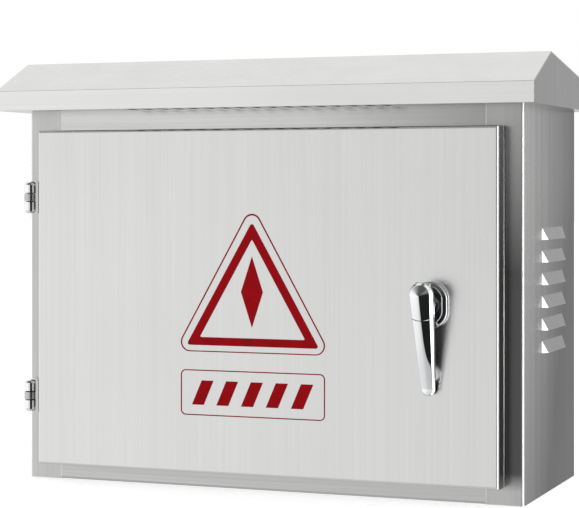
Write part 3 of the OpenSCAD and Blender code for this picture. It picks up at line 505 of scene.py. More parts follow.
def build_finishes():
    """Builds the shared effects, and every material by the name that the pieces use."""
    for build in (build_grinding_lines, build_edge_polish, build_smudges, build_settled_dust,
                  build_moulded_skin):
        build()
    look = finishes()
    return {
        "upright steel": ground_steel("steel ground upright", ALONG_Z),
        # painted light and shade: the sides are lighter than the door at the front and darken
        # towards the wall
        "side steel": ground_steel("side steel", ALONG_Z, look.side_lightness, contrast=0.16,
                                   banding=0.7, painted_shade_tone=look.side_painted_shade),
        # painted light and shade: lit and shaded copies of one ground steel; the hood is made
        # lighter, the gables darker
        "hood steel": ground_steel("hood steel", ALONG_X, 1.10),
        "gable steel": ground_steel("gable steel", ALONG_Z, 0.83, contrast=0.05),
        # painted shade: the top is darker and darkens further towards the wall and the right; the
        # bottom is darker
        "top steel": ground_steel("top steel", ALONG_X, 0.93, contrast=0.08, painted_shade_tone=0.25, down=0.0,
                                  right=0.72),
        "bottom steel": ground_steel("bottom steel", ALONG_X, 0.76, contrast=0.10),
        # painted shade: the front strips are darker copies of the steel; the right strip darkens
        # further towards the foot beside the door
        "left strip": ground_steel("left strip steel", ALONG_Z, 0.75, contrast=0.05),
        "right strip": ground_steel("right strip steel", ALONG_Z, 0.72, contrast=0.08, banding=0.6,
                                    painted_shade_tone=0.12, from_z=0.95, down=2.1,
                                    above=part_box("door_panel")[0].z - 4 * MM),
        # painted highlight: a lighter, rougher steel for the folds and the door's hem
        "fold": ground_steel("painted highlight folds", ALONG_Z, 1.35, blur=0.2),
        # painted shade: a darker steel for the louvres
        "louvre steel": ground_steel("louvre steel", ALONG_Z, 0.8, contrast=0.1),
        # painted shade: a near-black lining for the gap around the lock cover
        "seam": rubber("seam painted shade", (0.012, 0.012, 0.013), 1500.0),
        # painted shade on the rear of the lever
        "painted_rear_shade": lever_rear_painted_shade(),
        "chrome": chrome_plate(),
        "zinc": zinc_plate(),
        "galvanised": galvanised_sheet(),
        "rubber": rubber("black rubber", (0.014, 0.014, 0.015), 1200.0),
        "foam": rubber("closed-cell foam", (0.022, 0.022, 0.023), 2200.0),
        "brass": drawn_brass(),
        "print": screen_print(),
        "bumper": plastic("pale bumper", (0.85, 0.85, 0.84), 0.25, 0.4),
        "casing": plastic("breaker casing", look.casing_tint, 0.42),
        "terminal": plastic("terminal plastic", look.terminal_tint, 0.45),
        "comb": plastic("comb insulation", (0.16, 0.165, 0.17), 0.4),
        "blue": plastic("blue plastic", look.toggle_blue, 0.3, 0.3),
        "black": plastic("black plastic", look.toggle_black, 0.28, 0.3),
        "green": plastic("green flag", (0.02, 0.22, 0.06), 0.3, 0.4),
    }


# ---- mesh tools ----------------------------------------------------------------------------


SHARP = math.radians(32)                 # edges sharper than this are rounded
JOINED = math.radians(50)                # faces closer than this share their shading
LEVEL = 0.004                            # radians; faces closer than this are one flat face


def rounding(piece, edge, segments=2):
    """Rounds a piece's sharp edges; the new faces get material index 1."""
    bevel = piece.modifiers.new("rounded edges", "BEVEL")
    bevel.width = edge
    bevel.segments = segments
    bevel.limit_method = "ANGLE"
    bevel.angle_limit = SHARP
    bevel.miter_outer = "MITER_ARC"
    bevel.material = 1
    return bevel


def baked(piece):
    """The piece's mesh with its modifiers in it."""
    bpy.context.view_layer.update()
    made = bpy.data.meshes.new_from_object(
        piece.evaluated_get(bpy.context.evaluated_depsgraph_get()))
    piece.modifiers.clear()
    return made


def shade(data, narrow=2.6 * MM):
    """Shades flat faces flat, and folds and rounded edges smoothly between them."""
    mesh = bmesh.new()
    mesh.from_mesh(data)
    mesh.faces.ensure_lookup_table()
    flat = []
    for face in mesh.faces:
        longest = max(edge.calc_length() for edge in face.edges)
        folded = any(len(edge.link_faces) == 2 and LEVEL < edge.calc_face_angle(0.0) < SHARP
                     for edge in face.edges)
        curved = face.material_index == 1 or (folded and face.calc_area() / longest < narrow)
        flat.append(not curved)
    normals = []
    for face in mesh.faces:
        for loop in face.loops:
            if flat[face.index]:
                normals.append(face.normal.copy())
                continue
            near = [other for other in loop.vert.link_faces
                    if face.normal.angle(other.normal, math.pi) < JOINED]
            level = [other for other in near if flat[other.index]]
            if level:
                closest = min(level, key=lambda other: face.normal.angle(other.normal))
                normals.append(closest.normal.copy())
            else:
                total = sum((other.normal * other.calc_area() for other in near), Vector())
                normals.append(total.normalized() if total.length else face.normal.copy())
    for face in mesh.faces:
        face.material_index = 0
        face.smooth = True
    for edge in mesh.edges:
        edge.smooth = True
    mesh.to_mesh(data)
    mesh.free()
    data.normals_split_custom_set([tuple(normal) for normal in normals])


def crosses_itself(data):
    """Whether a face with holes has been joined up wrongly."""
    data.calc_loop_triangles()
    covered = [0.0] * len(data.polygons)
    for triangle in data.loop_triangles:
        covered[triangle.polygon_index] += triangle.area
    return any(abs(covered[face.index] - face.area) > 0.02 * face.area + MM * MM
               for face in data.polygons)


def dress(name, material, edge=None):
    """Gives a node of the frame its finish. With edge, a copy with rounded edges stands for it."""
    part = frame["nodes"][name]
    part.data.materials.clear()
    part.data.materials.append(material)
    if not edge:
        return part
    copy = bpy.data.objects.new(f"{name}_finished", part.data)
    bpy.context.scene.collection.objects.link(copy)
    for dissolved, rounded in ((True, True), (False, True), (False, False)):
        copy.data = part.data.copy()
        joined = copy.modifiers.new("joined faces", "WELD")
        joined.merge_threshold = 0.002 * MM
        if dissolved:
            plain = copy.modifiers.new("plain faces", "DECIMATE")
            plain.decimate_type = "DISSOLVE"
            plain.angle_limit = math.radians(0.5)
        if rounded:
            rounding(copy, edge)
        copy.data = baked(copy)
        if not crosses_itself(copy.data):
            break
    shade(copy.data)
    copy.data.materials.clear()
    copy.data.materials.append(material)
    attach(copy, part["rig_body"])
    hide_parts(name)
    return copy


def as_data(name, mesh):
    """Turns a bmesh into mesh data."""
    for face in mesh.faces:
        face.smooth = True
    data = bpy.data.meshes.new(name)
    mesh.normal_update()
    mesh.to_mesh(data)
    mesh.free()
    return data


def refinish(piece, material, wanted):
    """Gives the faces that wanted() picks another finish."""
    piece.data.materials.append(material)
    for face in piece.data.polygons:
        if wanted(face):
            face.material_index = len(piece.data.materials) - 1


def new_piece(name, mesh, material, body, edge=None, stands_for=()):
    """Adds a mesh as a piece that rides on a body."""
    piece = bpy.data.objects.new(name, as_data(name, mesh))
    bpy.context.scene.collection.objects.link(piece)
    if edge:
        round_off(piece, edge)
    piece.data.materials.clear()
    piece.data.materials.append(material)
    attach(piece, body)
    if stands_for:
        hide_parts(*stands_for)
    return piece


def round_off(piece, edge):
    """Rounds a new piece's sharp edges for good."""
    rounding(piece, edge)
    piece.data = baked(piece)
    shade(piece.data, 4 * MM)


def rings(mesh, loops, close_first=True, close_last=True):
    """Skins a list of closed loops of points, all with the same number of points."""
    rows = [[mesh.verts.new(point) for point in loop] for loop in loops]
    count = len(rows[0])
    for low, high in zip(rows, rows[1:]):
        for i in range(count):
            j = (i + 1) % count
            mesh.faces.new((low[i], low[j], high[j], high[i]))
    if close_first:
        mesh.faces.new(list(reversed(rows[0])))
    if close_last:
        mesh.faces.new(rows[-1])
    return rows


def turned(profile, centre, steps=64, axis=ALONG_Y):
    """A turned body about an axis along X or Y; profile is (radius, place on the axis)."""
    mesh = bmesh.new()
    loops = []
    for radius, place in profile:
        loop = []
        for i in range(steps):
            u = centre[0] + radius * math.cos(2 * math.pi * i / steps)
            v = centre[1] + radius * math.sin(2 * math.pi * i / steps)
            loop.append((u, place, v) if axis == ALONG_Y else (place, u, v))
        loops.append(loop)
    rings(mesh, loops)
    bmesh.ops.recalc_face_normals(mesh, faces=mesh.faces)
    return mesh


def add_mesh(mesh, other):
    """Adds a bmesh to another and frees it."""
    data = as_data("part", other)
    mesh.from_mesh(data)
    bpy.data.meshes.remove(data)


def oblong(profile, centre, steps=48):
    """An upright oblong body; profile is (radius, height of the straight sides, y)."""
    mesh = bmesh.new()
    loops = []
    for radius, straight, y in profile:
        loop = []
        for i in range(2 * steps):
            a = math.pi * (i + 0.5) / steps
            lift = 0.5 * straight * (1 if a < math.pi else -1)
            loop.append((centre[0] + radius * math.cos(a), y,
                         centre[1] + lift + radius * math.sin(a)))
        loops.append(loop)
    rings(mesh, loops)
    bmesh.ops.recalc_face_normals(mesh, faces=mesh.faces)
    return mesh


def quarter(radius0, y0, radius1, y1, steps=6):
    """Points on a quarter ellipse from (radius0, y0), level there, to (radius1, y1), upright."""
    points = []
    for i in range(steps + 1):
        a = 0.5 * math.pi * i / steps
        points.append((radius0 + (radius1 - radius0) * math.sin(a),
                       y1 + (y0 - y1) * math.cos(a)))
    return points


def carve(piece, cutter, operation):
    """Applies a boolean with a cutter mesh, which is then removed."""
    tool = bpy.data.objects.new("cutter", as_data("cutter", cutter))
    bpy.context.scene.collection.objects.link(tool)
    cut = piece.modifiers.new("cut", "BOOLEAN")
    cut.object = tool
    cut.operation = operation
    cut.solver = "EXACT"
    piece.data = baked(piece)
    bpy.data.objects.remove(tool)


# ---- pieces --------------------------------------------------------------------------------


class CABINET_OT_body(bpy.types.Operator):
    """Finishes the folded sheets of the body"""

    bl_idname = "cabinet.body"
    bl_label = "Body sheets"

    def execute(self, context):
        dress("rear_panel", finish["upright steel"], sizes().sheet_edge)
        for side in ("left", "right"):
            sheet = dress(f"{side}_side_panel", finish["side steel"], sizes().sheet_edge)
            # painted shade on the louvres' slanted faces
            refinish(sheet, finish["louvre steel"],
                     lambda face: face.normal.z > 0.2 and abs(face.normal.x) > 0.5)
            # painted highlight along the folds at the front corners
            refinish(sheet, finish["fold"],
                     lambda face: 0.1 < abs(face.normal.x) < 0.98 and face.normal.y < -0.15)
            # painted shade: the front strips of the sides take the darker strip steels
            refinish(sheet, finish[f"{side} strip"], lambda face: face.normal.y < -0.95)
        # painted shade: the top and bottom take the darker steels
        dress("top_panel", finish["top steel"], sizes().sheet_edge)
        for name in ("bottom_panel", "gland_plate"):
            dress(name, finish["bottom steel"], sizes().sheet_edge)
        return {"FINISHED"}


class CABINET_OT_hood(bpy.types.Operator):
    """Finishes the rain hood"""

    bl_idname = "cabinet.hood"
    bl_label = "Rain hood"

    def execute(self, context):
        # painted light on the roof and soffit, painted shade on the gables and ribs, by their
        # steels' tones
        for name in ("hood_roof", "hood_soffit"):
            dress(name, finish["hood steel"], sizes().sheet_edge)
        for name in ("hood_left_gable", "hood_right_gable", "hood_ribs"):
            dress(name, finish["gable steel"], sizes().sheet_edge)
        self.filter()
        return {"FINISHED"}

    def filter(self):
        """The crinkled filter that lies on the soffit, over its slots."""
        low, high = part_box("hood_soffit")
        body_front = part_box("top_panel")[0].y
        half_x = 0.32 * (high.x - low.x)
        half_y = 0.46 * (body_front - low.y)
        middle = 0.5 * (low.y + body_front)
        columns, rows = 220, 10
        crinkle = 0.4 * MM
        mesh = bmesh.new()
        bmesh.ops.create_grid(mesh, x_segments=columns, y_segments=rows, size=1.0)
        for vert in mesh.verts:
            wave = (math.sin(columns * math.pi * vert.co.x)
                    * math.cos(0.5 * rows * math.pi * vert.co.y))
            vert.co = Vector((half_x * vert.co.x, middle + half_y * vert.co.y,
                              high.z + 0.9 * MM + crinkle * wave))
        bmesh.ops.solidify(mesh, geom=mesh.faces, thickness=crinkle)
        new_piece("hood_filter", mesh, finish["foam"], "cabinet")


class CABINET_OT_door(bpy.types.Operator):
    """Finishes the door pan and its stiffeners"""

    bl_idname = "cabinet.door"
    bl_label = "Door"

    def execute(self, context):
        for name in ("door_panel", "door_stiffeners"):
            dress(name, finish["upright steel"], sizes().sheet_edge)
        self.hem()
        return {"FINISHED"}

    def hem(self):
        """The bead along the door's rear edge."""
        low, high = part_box("door_panel")
        radius = sizes().hem_radius
        inset = 0.7 * radius
        steps = 12
        mesh = bmesh.new()
        corners = [(low.x + inset, low.z + inset), (high.x - inset, low.z + inset),
                   (high.x - inset, high.z - inset), (low.x + inset, high.z - inset)]
        loops = []
        for x, z in corners + corners[:1]:
            out_x = 1 if x > 0 else -1
            out_z = 1 if z > 0.5 * (low.z + high.z) else -1
            loop = []
            for k in range(steps):
                a = 2 * math.pi * k / steps
                out = radius * math.cos(a)
                loop.append((x + out_x * out, high.y - radius + radius * math.sin(a),
                             z + out_z * out))
            loops.append(loop)
        rings(mesh, loops, False, False)
        bmesh.ops.remove_doubles(mesh, verts=mesh.verts, dist=0.001 * MM)
        bmesh.ops.recalc_face_normals(mesh, faces=mesh.faces)
        # painted highlight: the hem takes the lighter fold steel
        new_piece("door_hem", mesh, finish["fold"], "door")


class CABINET_OT_warning(bpy.types.Operator):
    """Inks the warning print"""

    bl_idname = "cabinet.warning"
    bl_label = "Warning print"

    def execute(self, context):
        for name in ("warning_triangle", "warning_lozenge", "warning_plate"):
            dress(name, finish["print"])
        return {"FINISHED"}


class CABINET_OT_seals(bpy.types.Operator):
    """Finishes the foam seal, the grommets and the handle's washer"""

    bl_idname = "cabinet.seals"
    bl_label = "Seals and grommets"

    def execute(self, context):
        dress("door_seal", finish["foam"], 2 * sizes().moulded_edge)
        for name in ("supply_grommet", "outgoing_grommet", "handle_washer"):
            dress(name, finish["rubber"], sizes().moulded_edge)
        return {"FINISHED"}


class CABINET_OT_hinges(bpy.types.Operator):
    """Finishes the hinges"""

    bl_idname = "cabinet.hinges"
    bl_label = "Hinges"

    def execute(self, context):
        for level in ("upper", "lower"):
            leaf = dress(f"{level}_hinge_frame_leaf", finish["chrome"], sizes().small_edge)
            carve(leaf, self.round_ends(level), "DIFFERENCE")
            shade(leaf.data)
            # the middle knuckle takes the left strip's steel, darkened as painted shade
            dress(f"{level}_hinge_door_leaf", finish["left strip"], 2 * sizes().small_edge)
            dress(f"{level}_hinge_pin", finish["zinc"], sizes().small_edge)
        return {"FINISHED"}

    def round_ends(self, level):
        """Cutter that turns the two outer knuckles of a hinge into balls, in front of its leaf."""
        pin_low, pin_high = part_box(f"{level}_hinge_pin")
        leaf_low, leaf_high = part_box(f"{level}_hinge_frame_leaf")
        axis = 0.5 * (pin_low + pin_high)
        radius = axis.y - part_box(f"{level}_hinge_door_leaf")[0].y
        core = 0.40 * radius
        half = 0.5 * (leaf_high.z - leaf_low.z)
        inner = sizes().ball_from
        middle, reach = 0.5 * (half + inner), 0.5 * (half - inner)
        front, sweep = 270, 115          # degrees: where the cut is centred, and to each side
        arc_steps, turn_steps = 16, 32
        mesh = bmesh.new()
        for side in (-1, 1):
            profile = [(1.3 * radius, -1.1 * reach), (1.3 * radius, 1.1 * reach)]
            for i in range(arc_steps + 1):
                a = 0.5 * math.pi * (1 - 2 * i / arc_steps)
                profile.append((core + (radius - core) * math.cos(a), reach * math.sin(a)))
            loops = []
            for i in range(turn_steps + 1):
                a = math.radians(front + sweep * (2 * i / turn_steps - 1))
                loops.append([(axis.x + r * math.cos(a), axis.y + r * math.sin(a),
                               axis.z + side * middle + z) for r, z in profile])
            rings(mesh, loops)
        bmesh.ops.recalc_face_normals(mesh, faces=mesh.faces)
        return mesh


class CABINET_OT_fasteners(bpy.types.Operator):
    """Finishes the nuts, studs and screws"""

    bl_idname = "cabinet.fasteners"
    bl_label = "Fasteners"

    def execute(self, context):
        for name in ("gland_plate_screws", "hood_screws", "hinge_frame_nuts", "hinge_door_nuts",
                     "handle_nut", "plate_studs", "plate_nuts", "bar_screws", "latch_screw",
                     "handle_spindle", "latch_tongue", "lock_cover_pin"):
            dress(name, finish["zinc"], sizes().small_edge)
        return {"FINISHED"}


class Drop:
    """The long drop that the lever and its lock cover share, as rings that shrink to a spine."""

    tail_share = 0.54                    # radius of the tail beside the head's
    head_depth = 12.5 * MM               # from the crown to the head's rear
    tail_back = 35 * MM                  # from the crown to the tail's rear
    tail_depth = 7.0 * MM                # thickness of the tail
    swell = 1.6 * MM                     # extra thickness below the head
    slanted = 0.19                       # share of the half width that is slanted
    head_slope, tail_slope = 0.64, 0.31  # fall of the front to each side of the spine
    rim_slope = 1.05                     # fall of the slanted band
    seam_radius = 24 * MM                # of the round end of the lock cover
    seam_drop = 1.5 * MM                 # of its centre from the head's
    cover_depth = 12 * MM                # from the crown to the seat of the lock cover

    def __init__(self):
        lever_low, lever_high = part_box("handle_lever")
        base_low, base_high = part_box("handle_base")
        self.x = 0.5 * (base_low.x + base_high.x)
        self.head_r = 0.5 * (lever_high.x - lever_low.x)
        self.top = lever_high.z
        self.tip = lever_low.z
        self.tail_r = self.head_r * self.tail_share
        self.head_z = self.top - self.head_r
        self.tail_z = self.tip + self.tail_r
        self.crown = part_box("lock_cover")[0].y
        self.head_rear = self.crown + self.head_depth
        self.tail_rear = self.crown + self.tail_back
        self.seam_z = self.head_z + self.seam_drop
        self.cover_rear = self.crown + self.cover_depth

    def outline(self, share_in, steps=18):
        """Points (x, z) of the drop's outline, shrunk towards its spine by a share."""
        big = self.head_r * (1 - share_in)
        small = self.tail_r * (1 - share_in)
        lean = math.asin((big - small) / (self.head_z - self.tail_z))
        points = []
        for i in range(steps + 1):
            a = -lean + (math.pi + 2 * lean) * i / steps
            points.append((big * math.cos(a), self.head_z + big * math.sin(a)))
        side = [points[-1], (-small * math.cos(lean), self.tail_z - small * math.sin(lean))]
        for i in range(1, 2 * steps):
            t = i / (2 * steps)
            points.append(tuple(a + (b - a) * t for a, b in zip(*side)))
        for i in range(steps + 1):
            a = math.pi + lean + (math.pi - 2 * lean) * i / steps
            points.append((small * math.cos(a), self.tail_z + small * math.sin(a)))
        for i in range(1, 2 * steps):
            t = i / (2 * steps)
            end = points[0]
            start = (small * math.cos(lean), self.tail_z - small * math.sin(lean))
            points.append(tuple(a + (b - a) * t for a, b in zip(start, end)))
        return points

    def along(self, z):
        """0 at the head's centre and above, 1 at the tail's centre and below."""
        return min(1.0, max(0.0, (self.head_z - z) / (self.head_z - self.tail_z)))

    def rear(self, z):
        """Place of the rear face at a height."""
        t = self.along(z)
        return self.head_rear + (self.tail_rear - self.head_rear) * t

    def depth(self, z):
        """Thickness at the spine; a shallow swell keeps the long side from being straight."""
        t = self.along(z)
        head = self.head_rear - self.crown
        return head + (self.tail_depth - head) * t + self.swell * math.sin(math.pi * t) * (1 - t)

    def surface(self, share_in, z):
        """Depth of the front behind the crown's line: a crown that flattens towards the tail
        and a slanted band along the outline."""
        t = self.along(z)
        half = self.head_r + (self.tail_r - self.head_r) * t
        across = half * (1 - max(share_in, self.slanted))
        eased = min(1.0, max(0.0, (t - 0.4) / 0.4))
        eased *= eased * (3 - 2 * eased)
        slope = self.head_slope + (self.tail_slope - self.head_slope) * eased
        ridge = sizes().ridge * (1 + 1.5 * t)
        return (slope * (math.hypot(across, ridge) - ridge)
                + self.rim_slope * half * max(0.0, self.slanted - share_in))

    def solid(self):
        """The whole drop as one closed mesh."""
        mesh = bmesh.new()
        rim = sizes().lever_rim
        loops = []
        rim_steps, band_steps, front_steps = 4, 5, 18
        for i in range(rim_steps + 1):
            a = 0.5 * math.pi * i / rim_steps
            inset = rim * (1 - math.sin(a))
            loops.append([(self.x + x, self.rear(z) - rim * (1 - math.cos(a)), z)
                          for x, z in self.outline(inset / self.tail_r)])
        shares = [self.slanted * i / band_steps for i in range(band_steps + 1)]
        shares += [self.slanted + (1 - self.slanted) * i / front_steps
                   for i in range(1, front_steps + 1)]
        for share_in in shares:
            loops.append([(self.x + x,
                           self.rear(z) - self.depth(z) + self.surface(share_in, z), z)
                          for x, z in self.outline(share_in)])
        rings(mesh, loops, close_last=False)
        bmesh.ops.remove_doubles(mesh, verts=mesh.verts, dist=0.01 * MM)
        bmesh.ops.recalc_face_normals(mesh, faces=mesh.faces)
        return mesh


class CABINET_OT_handle(bpy.types.Operator):
    """Builds the chrome handle with its base, neck, lever and lock cover"""

    bl_idname = "cabinet.handle"
    bl_label = "Handle"

    seam_gap = 0.6 * MM                  # between the lock cover's end and the lever
    seat_gap = 0.2 * MM                  # between the lock cover and its seat
    casting_edge = 0.3 * MM              # rounding of the castings' cut edges
    lug_radius = 2.2 * MM
    lever_lugs = ((-7.0 * MM, -4.1 * MM), (4.1 * MM, 7.0 * MM))
    cover_lug = ((-3.8 * MM, 3.8 * MM),)

    def execute(self, context):
        drop = Drop()
        self.base(finish["chrome"])
        self.neck(finish["chrome"], drop)
        self.lever(finish["chrome"], drop)
        self.cover(finish["chrome"], drop)
        dress("lock_cylinder", finish["brass"], sizes().small_edge)
        dress("lever_bumper", finish["bumper"], sizes().small_edge)
        return {"FINISHED"}

    def base(self, chrome):
        """The oblong base with a slanted rim, and its stem through the door."""
        low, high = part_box("handle_base")
        centre = (0.5 * (low.x + high.x), 0.5 * (low.z + high.z))
        radius = high.x - centre[0]
        rim = sizes().base_rim
        stem = sizes().base_stem
        front, rear = low.y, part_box("handle_washer")[0].y
        socket = 0.40 * radius
        brow = 0.76 * radius             # where the flat front ends
        brow_depth = 0.25 * MM
        slant_end = front + brow_depth + (radius - rim - brow) * math.tan(math.radians(27))
        turn = slant_end + 0.05 * MM     # where the slant turns into the rim
        profile = [(socket, front), (brow - 0.5 * MM, front),
                   *quarter(brow - 0.4 * MM, front, brow, front + brow_depth, 3),
                   (radius - rim, slant_end),
                   *quarter(radius - rim + 0.1 * MM, turn, radius, turn + rim),
                   (radius, rear - 0.5 * MM), (radius - 0.5 * MM, rear)]
        straight = high.z - low.z - 2 * radius
        profile = [(r, straight, y) for r, y in profile]
        profile += [(stem, 0.0, rear), (stem, 0.0, high.y)]
        new_piece("handle_rosette", oblong(profile, centre), chrome, "door",
                  0.2 * MM, ("handle_base",))

    def neck(self, chrome, drop):
        """The waisted neck between the lever and its base."""
        waist, flare = 8.0 * MM, 1.6 * MM
        front = drop.head_rear - 1.0 * MM
        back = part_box("handle_base")[0].y - 0.3 * MM
        if back < drop.head_rear:
            raise RuntimeError("the neck has no length")
        steps = 12
        profile = []
        for i in range(steps + 1):
            t = i / steps
            profile.append((waist + flare * (2 * t - 1) ** 2, front + (back - front) * t))
        new_piece("lever_neck", turned(profile, (drop.x, 0.0), 64), chrome, "handle",
                  0.3 * MM)

    def seam(self, drop, radius, rear):
        """Cutter that parts the lock cover from the lever."""
        return turned([(radius, drop.crown - 5 * MM), (radius, rear)], (drop.x, drop.seam_z), 160)

    def finish_seam(self, piece, drop, radius):
        """Lines the gap below the lock cover near black, as painted shade inside the gap."""
        near = 0.12 * MM
        refinish(piece, finish["seam"], lambda face: abs(
            math.hypot(face.center.x - drop.x, face.center.z - drop.seam_z) - radius) < near)

    def lever(self, chrome, drop):
        """The lever, cut out for the lock cover and the lock."""
        face = drop.cover_rear
        key_low, key_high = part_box("lock_cylinder")
        lever = new_piece("lever", drop.solid(), chrome, "handle",
                          stands_for=("handle_lever",))
        carve(lever, self.seam(drop, drop.seam_radius, face), "DIFFERENCE")
        key_r = 0.5 * (key_high.x - key_low.x) + 0.05 * MM
        carve(lever, turned([(key_r, face - 5 * MM), (key_r, key_high.y)], (drop.x, 0.0), 64),
              "DIFFERENCE")
        round_off(lever, self.casting_edge)
        self.finish_seam(lever, drop, drop.seam_radius)
        # painted shade: the faces towards the door get the near-black rear finish
        refinish(lever, finish["painted_rear_shade"], lambda face: face.normal.y > 0.6)
        new_piece("lever_lugs", self.lugs(self.lever_lugs), chrome, "handle")

    def lugs(self, spans):
        """Knuckles about the lock cover's pin; spans are from its middle."""
        low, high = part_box("lock_cover_pin")
        middle = 0.5 * (low + high)
        radius, cut = self.lug_radius, 0.4 * MM
        mesh = bmesh.new()
        for start, end in spans:
            start, end = middle.x + start, middle.x + end
            add_mesh(mesh, turned([(radius - cut, start), (radius, start + cut),
                                   (radius, end - cut), (radius - cut, end)],
                                  (middle.y, middle.z), 32, ALONG_X))
        return mesh

    def cover(self, chrome, drop):
        """The lock cover, hollow over the lock."""
        face = drop.cover_rear - self.seat_gap
        end = drop.seam_radius - self.seam_gap
        key_low, key_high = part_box("lock_cylinder")
        cover = new_piece("lock_cover_shell", drop.solid(), chrome, "lock_cover",
                          stands_for=("lock_cover",))
        carve(cover, self.seam(drop, end, face), "INTERSECT")
        key_r = 0.5 * (key_high.x - key_low.x) + 2 * MM
        carve(cover, turned([(key_r, key_low.y - 2 * MM), (key_r, face + 5 * MM)],
                            (drop.x, 0.0), 64), "DIFFERENCE")
        round_off(cover, self.casting_edge)
        self.finish_seam(cover, drop, end)
        new_piece("lock_cover_lug", self.lugs(self.cover_lug), chrome, "lock_cover")


class CABINET_OT_rear_equipment(bpy.types.Operator):
    """Finishes the mounting plate and the rails, and rivets the rails"""

    bl_idname = "cabinet.rear_equipment"
    bl_label = "Mounting plate and rails"

    def execute(self, context):
        dress("mounting_plate", finish["galvanised"], sizes().sheet_edge)
        dress("din_rails", finish["galvanised"], sizes().small_edge)
        self.rivets()
        return {"FINISHED"}

    def rivets(self):
        """Domed rivets along the middle of each rail."""
        low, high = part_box("din_rails")
        half_rail = 17.5 * MM
        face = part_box("mounting_plate")[0].y - 1.0 * MM
        count = sizes().rivets
        radius = sizes().rivet_radius
        dome = [(radius * out, face + rise * MM) for out, rise in
                ((0.3, -1.3), (0.62, -1.1), (0.87, -0.7), (1.0, -0.2), (1.0, 0.2))]
        mesh = bmesh.new()
        for z in (low.z + half_rail, high.z - half_rail):
            for i in range(count):
                x = low.x + (high.x - low.x) * (i + 0.5) / count
                add_mesh(mesh, turned(dome, (x, z), 24))
        new_piece("rail_rivets", mesh, finish["zinc"], "cabinet")


class CABINET_OT_breakers(bpy.types.Operator):
    """Finishes the breakers and adds terminal screws and state flags"""

    bl_idname = "cabinet.breakers"
    bl_label = "Breakers"

    screw_depth = 22.2 * MM              # of the terminal screws behind the casing's front
    screw_radius, screw_height = 2.7 * MM, 1.6 * MM
    flag_drop = 17.0 * MM                # of the state flag from the casing's middle
    flag_size = (3.2 * MM, 1.4 * MM, 0.5 * MM)

    def execute(self, context):
        self.breaker("main_breaker", "main_toggle", 3, finish["black"])
        count = sum(name.startswith("branch_breaker_") for name in frame["nodes"])
        for i in range(1, count + 1):
            self.breaker(f"branch_breaker_{i}", f"branch_toggle_{i}", 1, finish["blue"])
        dress("comb_busbar", finish["comb"], sizes().small_edge)
        return {"FINISHED"}

    def breaker(self, casing, toggle, poles, toggle_finish):
        """One breaker with two terminal screws a pole and a flag under its toggle."""
        dress(casing, finish["casing"], sizes().moulded_edge)
        dress(toggle, toggle_finish, sizes().moulded_edge)
        low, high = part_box(casing)
        middle = 0.5 * (low.z + high.z)
        pitch = (high.x - low.x) / poles
        screws = bmesh.new()
        for i in range(poles):
            for side in (-1, 1):
                at = Vector((low.x + (i + 0.5) * pitch, low.y + self.screw_depth,
                             middle + side * sizes().terminal_offset))
                add_cross_screw(screws, at, self.screw_radius, self.screw_height)
        new_piece(f"{casing}_screws", screws, finish["zinc"], "cabinet",
                  0.12 * MM)
        flag = bmesh.new()
        centre = Vector((0.5 * (low.x + high.x), low.y - 0.1 * MM, middle - self.flag_drop))
        add_plate(flag, centre, *self.flag_size)
        new_piece(f"{casing}_flag", flag, finish["green"], "cabinet",
                  0.2 * MM)


def add_plate(mesh, centre, half_x, half_z, depth):
    """A small plate with cut corners that stands out towards the door."""
    cut = 0.35 * min(half_x, half_z)
    outline = [(half_x, half_z - cut), (half_x - cut, half_z), (cut - half_x, half_z),
               (-half_x, half_z - cut), (-half_x, cut - half_z), (cut - half_x, -half_z),
               (half_x - cut, -half_z), (half_x, cut - half_z)]
    loops = [[centre + Vector((x, y, z)) for x, z in outline] for y in (depth, 0.0)]
    rings(mesh, loops)


def add_cross_screw(mesh, centre, radius, height):
    """A screw head with a cross recess, facing the door."""
    arm = 0.33 * radius                  # where the recess is narrow
    reach = 0.72 * radius                # the tips of its four arms
    half_arm = 0.20                      # radians that an arm takes up to each side
    steps = 24
    rim = [(radius * math.cos(2 * math.pi * i / steps), radius * math.sin(2 * math.pi * i / steps))
           for i in range(steps)]
    cross = []
    for x, z in rim:
        a = math.atan2(z, x) % (0.5 * math.pi) - 0.25 * math.pi
        along = reach if abs(abs(a) - 0.25 * math.pi) < half_arm else arm
        scale = along / radius
        cross.append((x * scale, z * scale))
    loops = [[centre + Vector((x, height, z)) for x, z in rim],
             [centre + Vector((x, 0.3 * height, z)) for x, z in rim],
             [centre + Vector((0.88 * x, 0.0, 0.88 * z)) for x, z in rim],
             [centre + Vector((x, 0.0, z)) for x, z in cross],
             [centre + Vector((0.8 * x, 0.6 * height, 0.8 * z)) for x, z in cross]]
    rings(mesh, loops)


class CABINET_OT_terminals(bpy.types.Operator):
    """Finishes the terminal blocks and the neutral and earth bars"""

    bl_idname = "cabinet.terminals"
    bl_label = "Terminals and bars"

    def execute(self, context):
        dress("terminal_blocks", finish["terminal"], 0.6 * sizes().moulded_edge)
        dress("neutral_insulators", finish["blue"], sizes().moulded_edge)
        for name in ("neutral_bar", "earth_bar"):
            dress(name, finish["brass"], sizes().small_edge)
        return {"FINISHED"}


# ---- studio --------------------------------------------------------------------------------


# Light by direction about the upright, as (share of a turn, level).
ROOM = (
    (0.0, 1.15), (0.12, 1.18), (0.165, 1.15), (0.205, 1.0), (0.225, 0.93), (0.285, 0.85),
    (0.297, 0.02), (0.412, 0.02),        # a dark doorway
    (0.422, 4.5), (0.475, 4.5),          # a tall softbox
    (0.485, 0.55), (0.56, 0.48), (0.62, 0.38), (0.70, 0.46), (0.80, 0.80), (1.0, 1.15))
CEILING = ((0.0, 1.0), (0.08, 0.35), (0.16, 0.12), (0.34, 0.10), (0.44, 1.0), (1.0, 1.0))


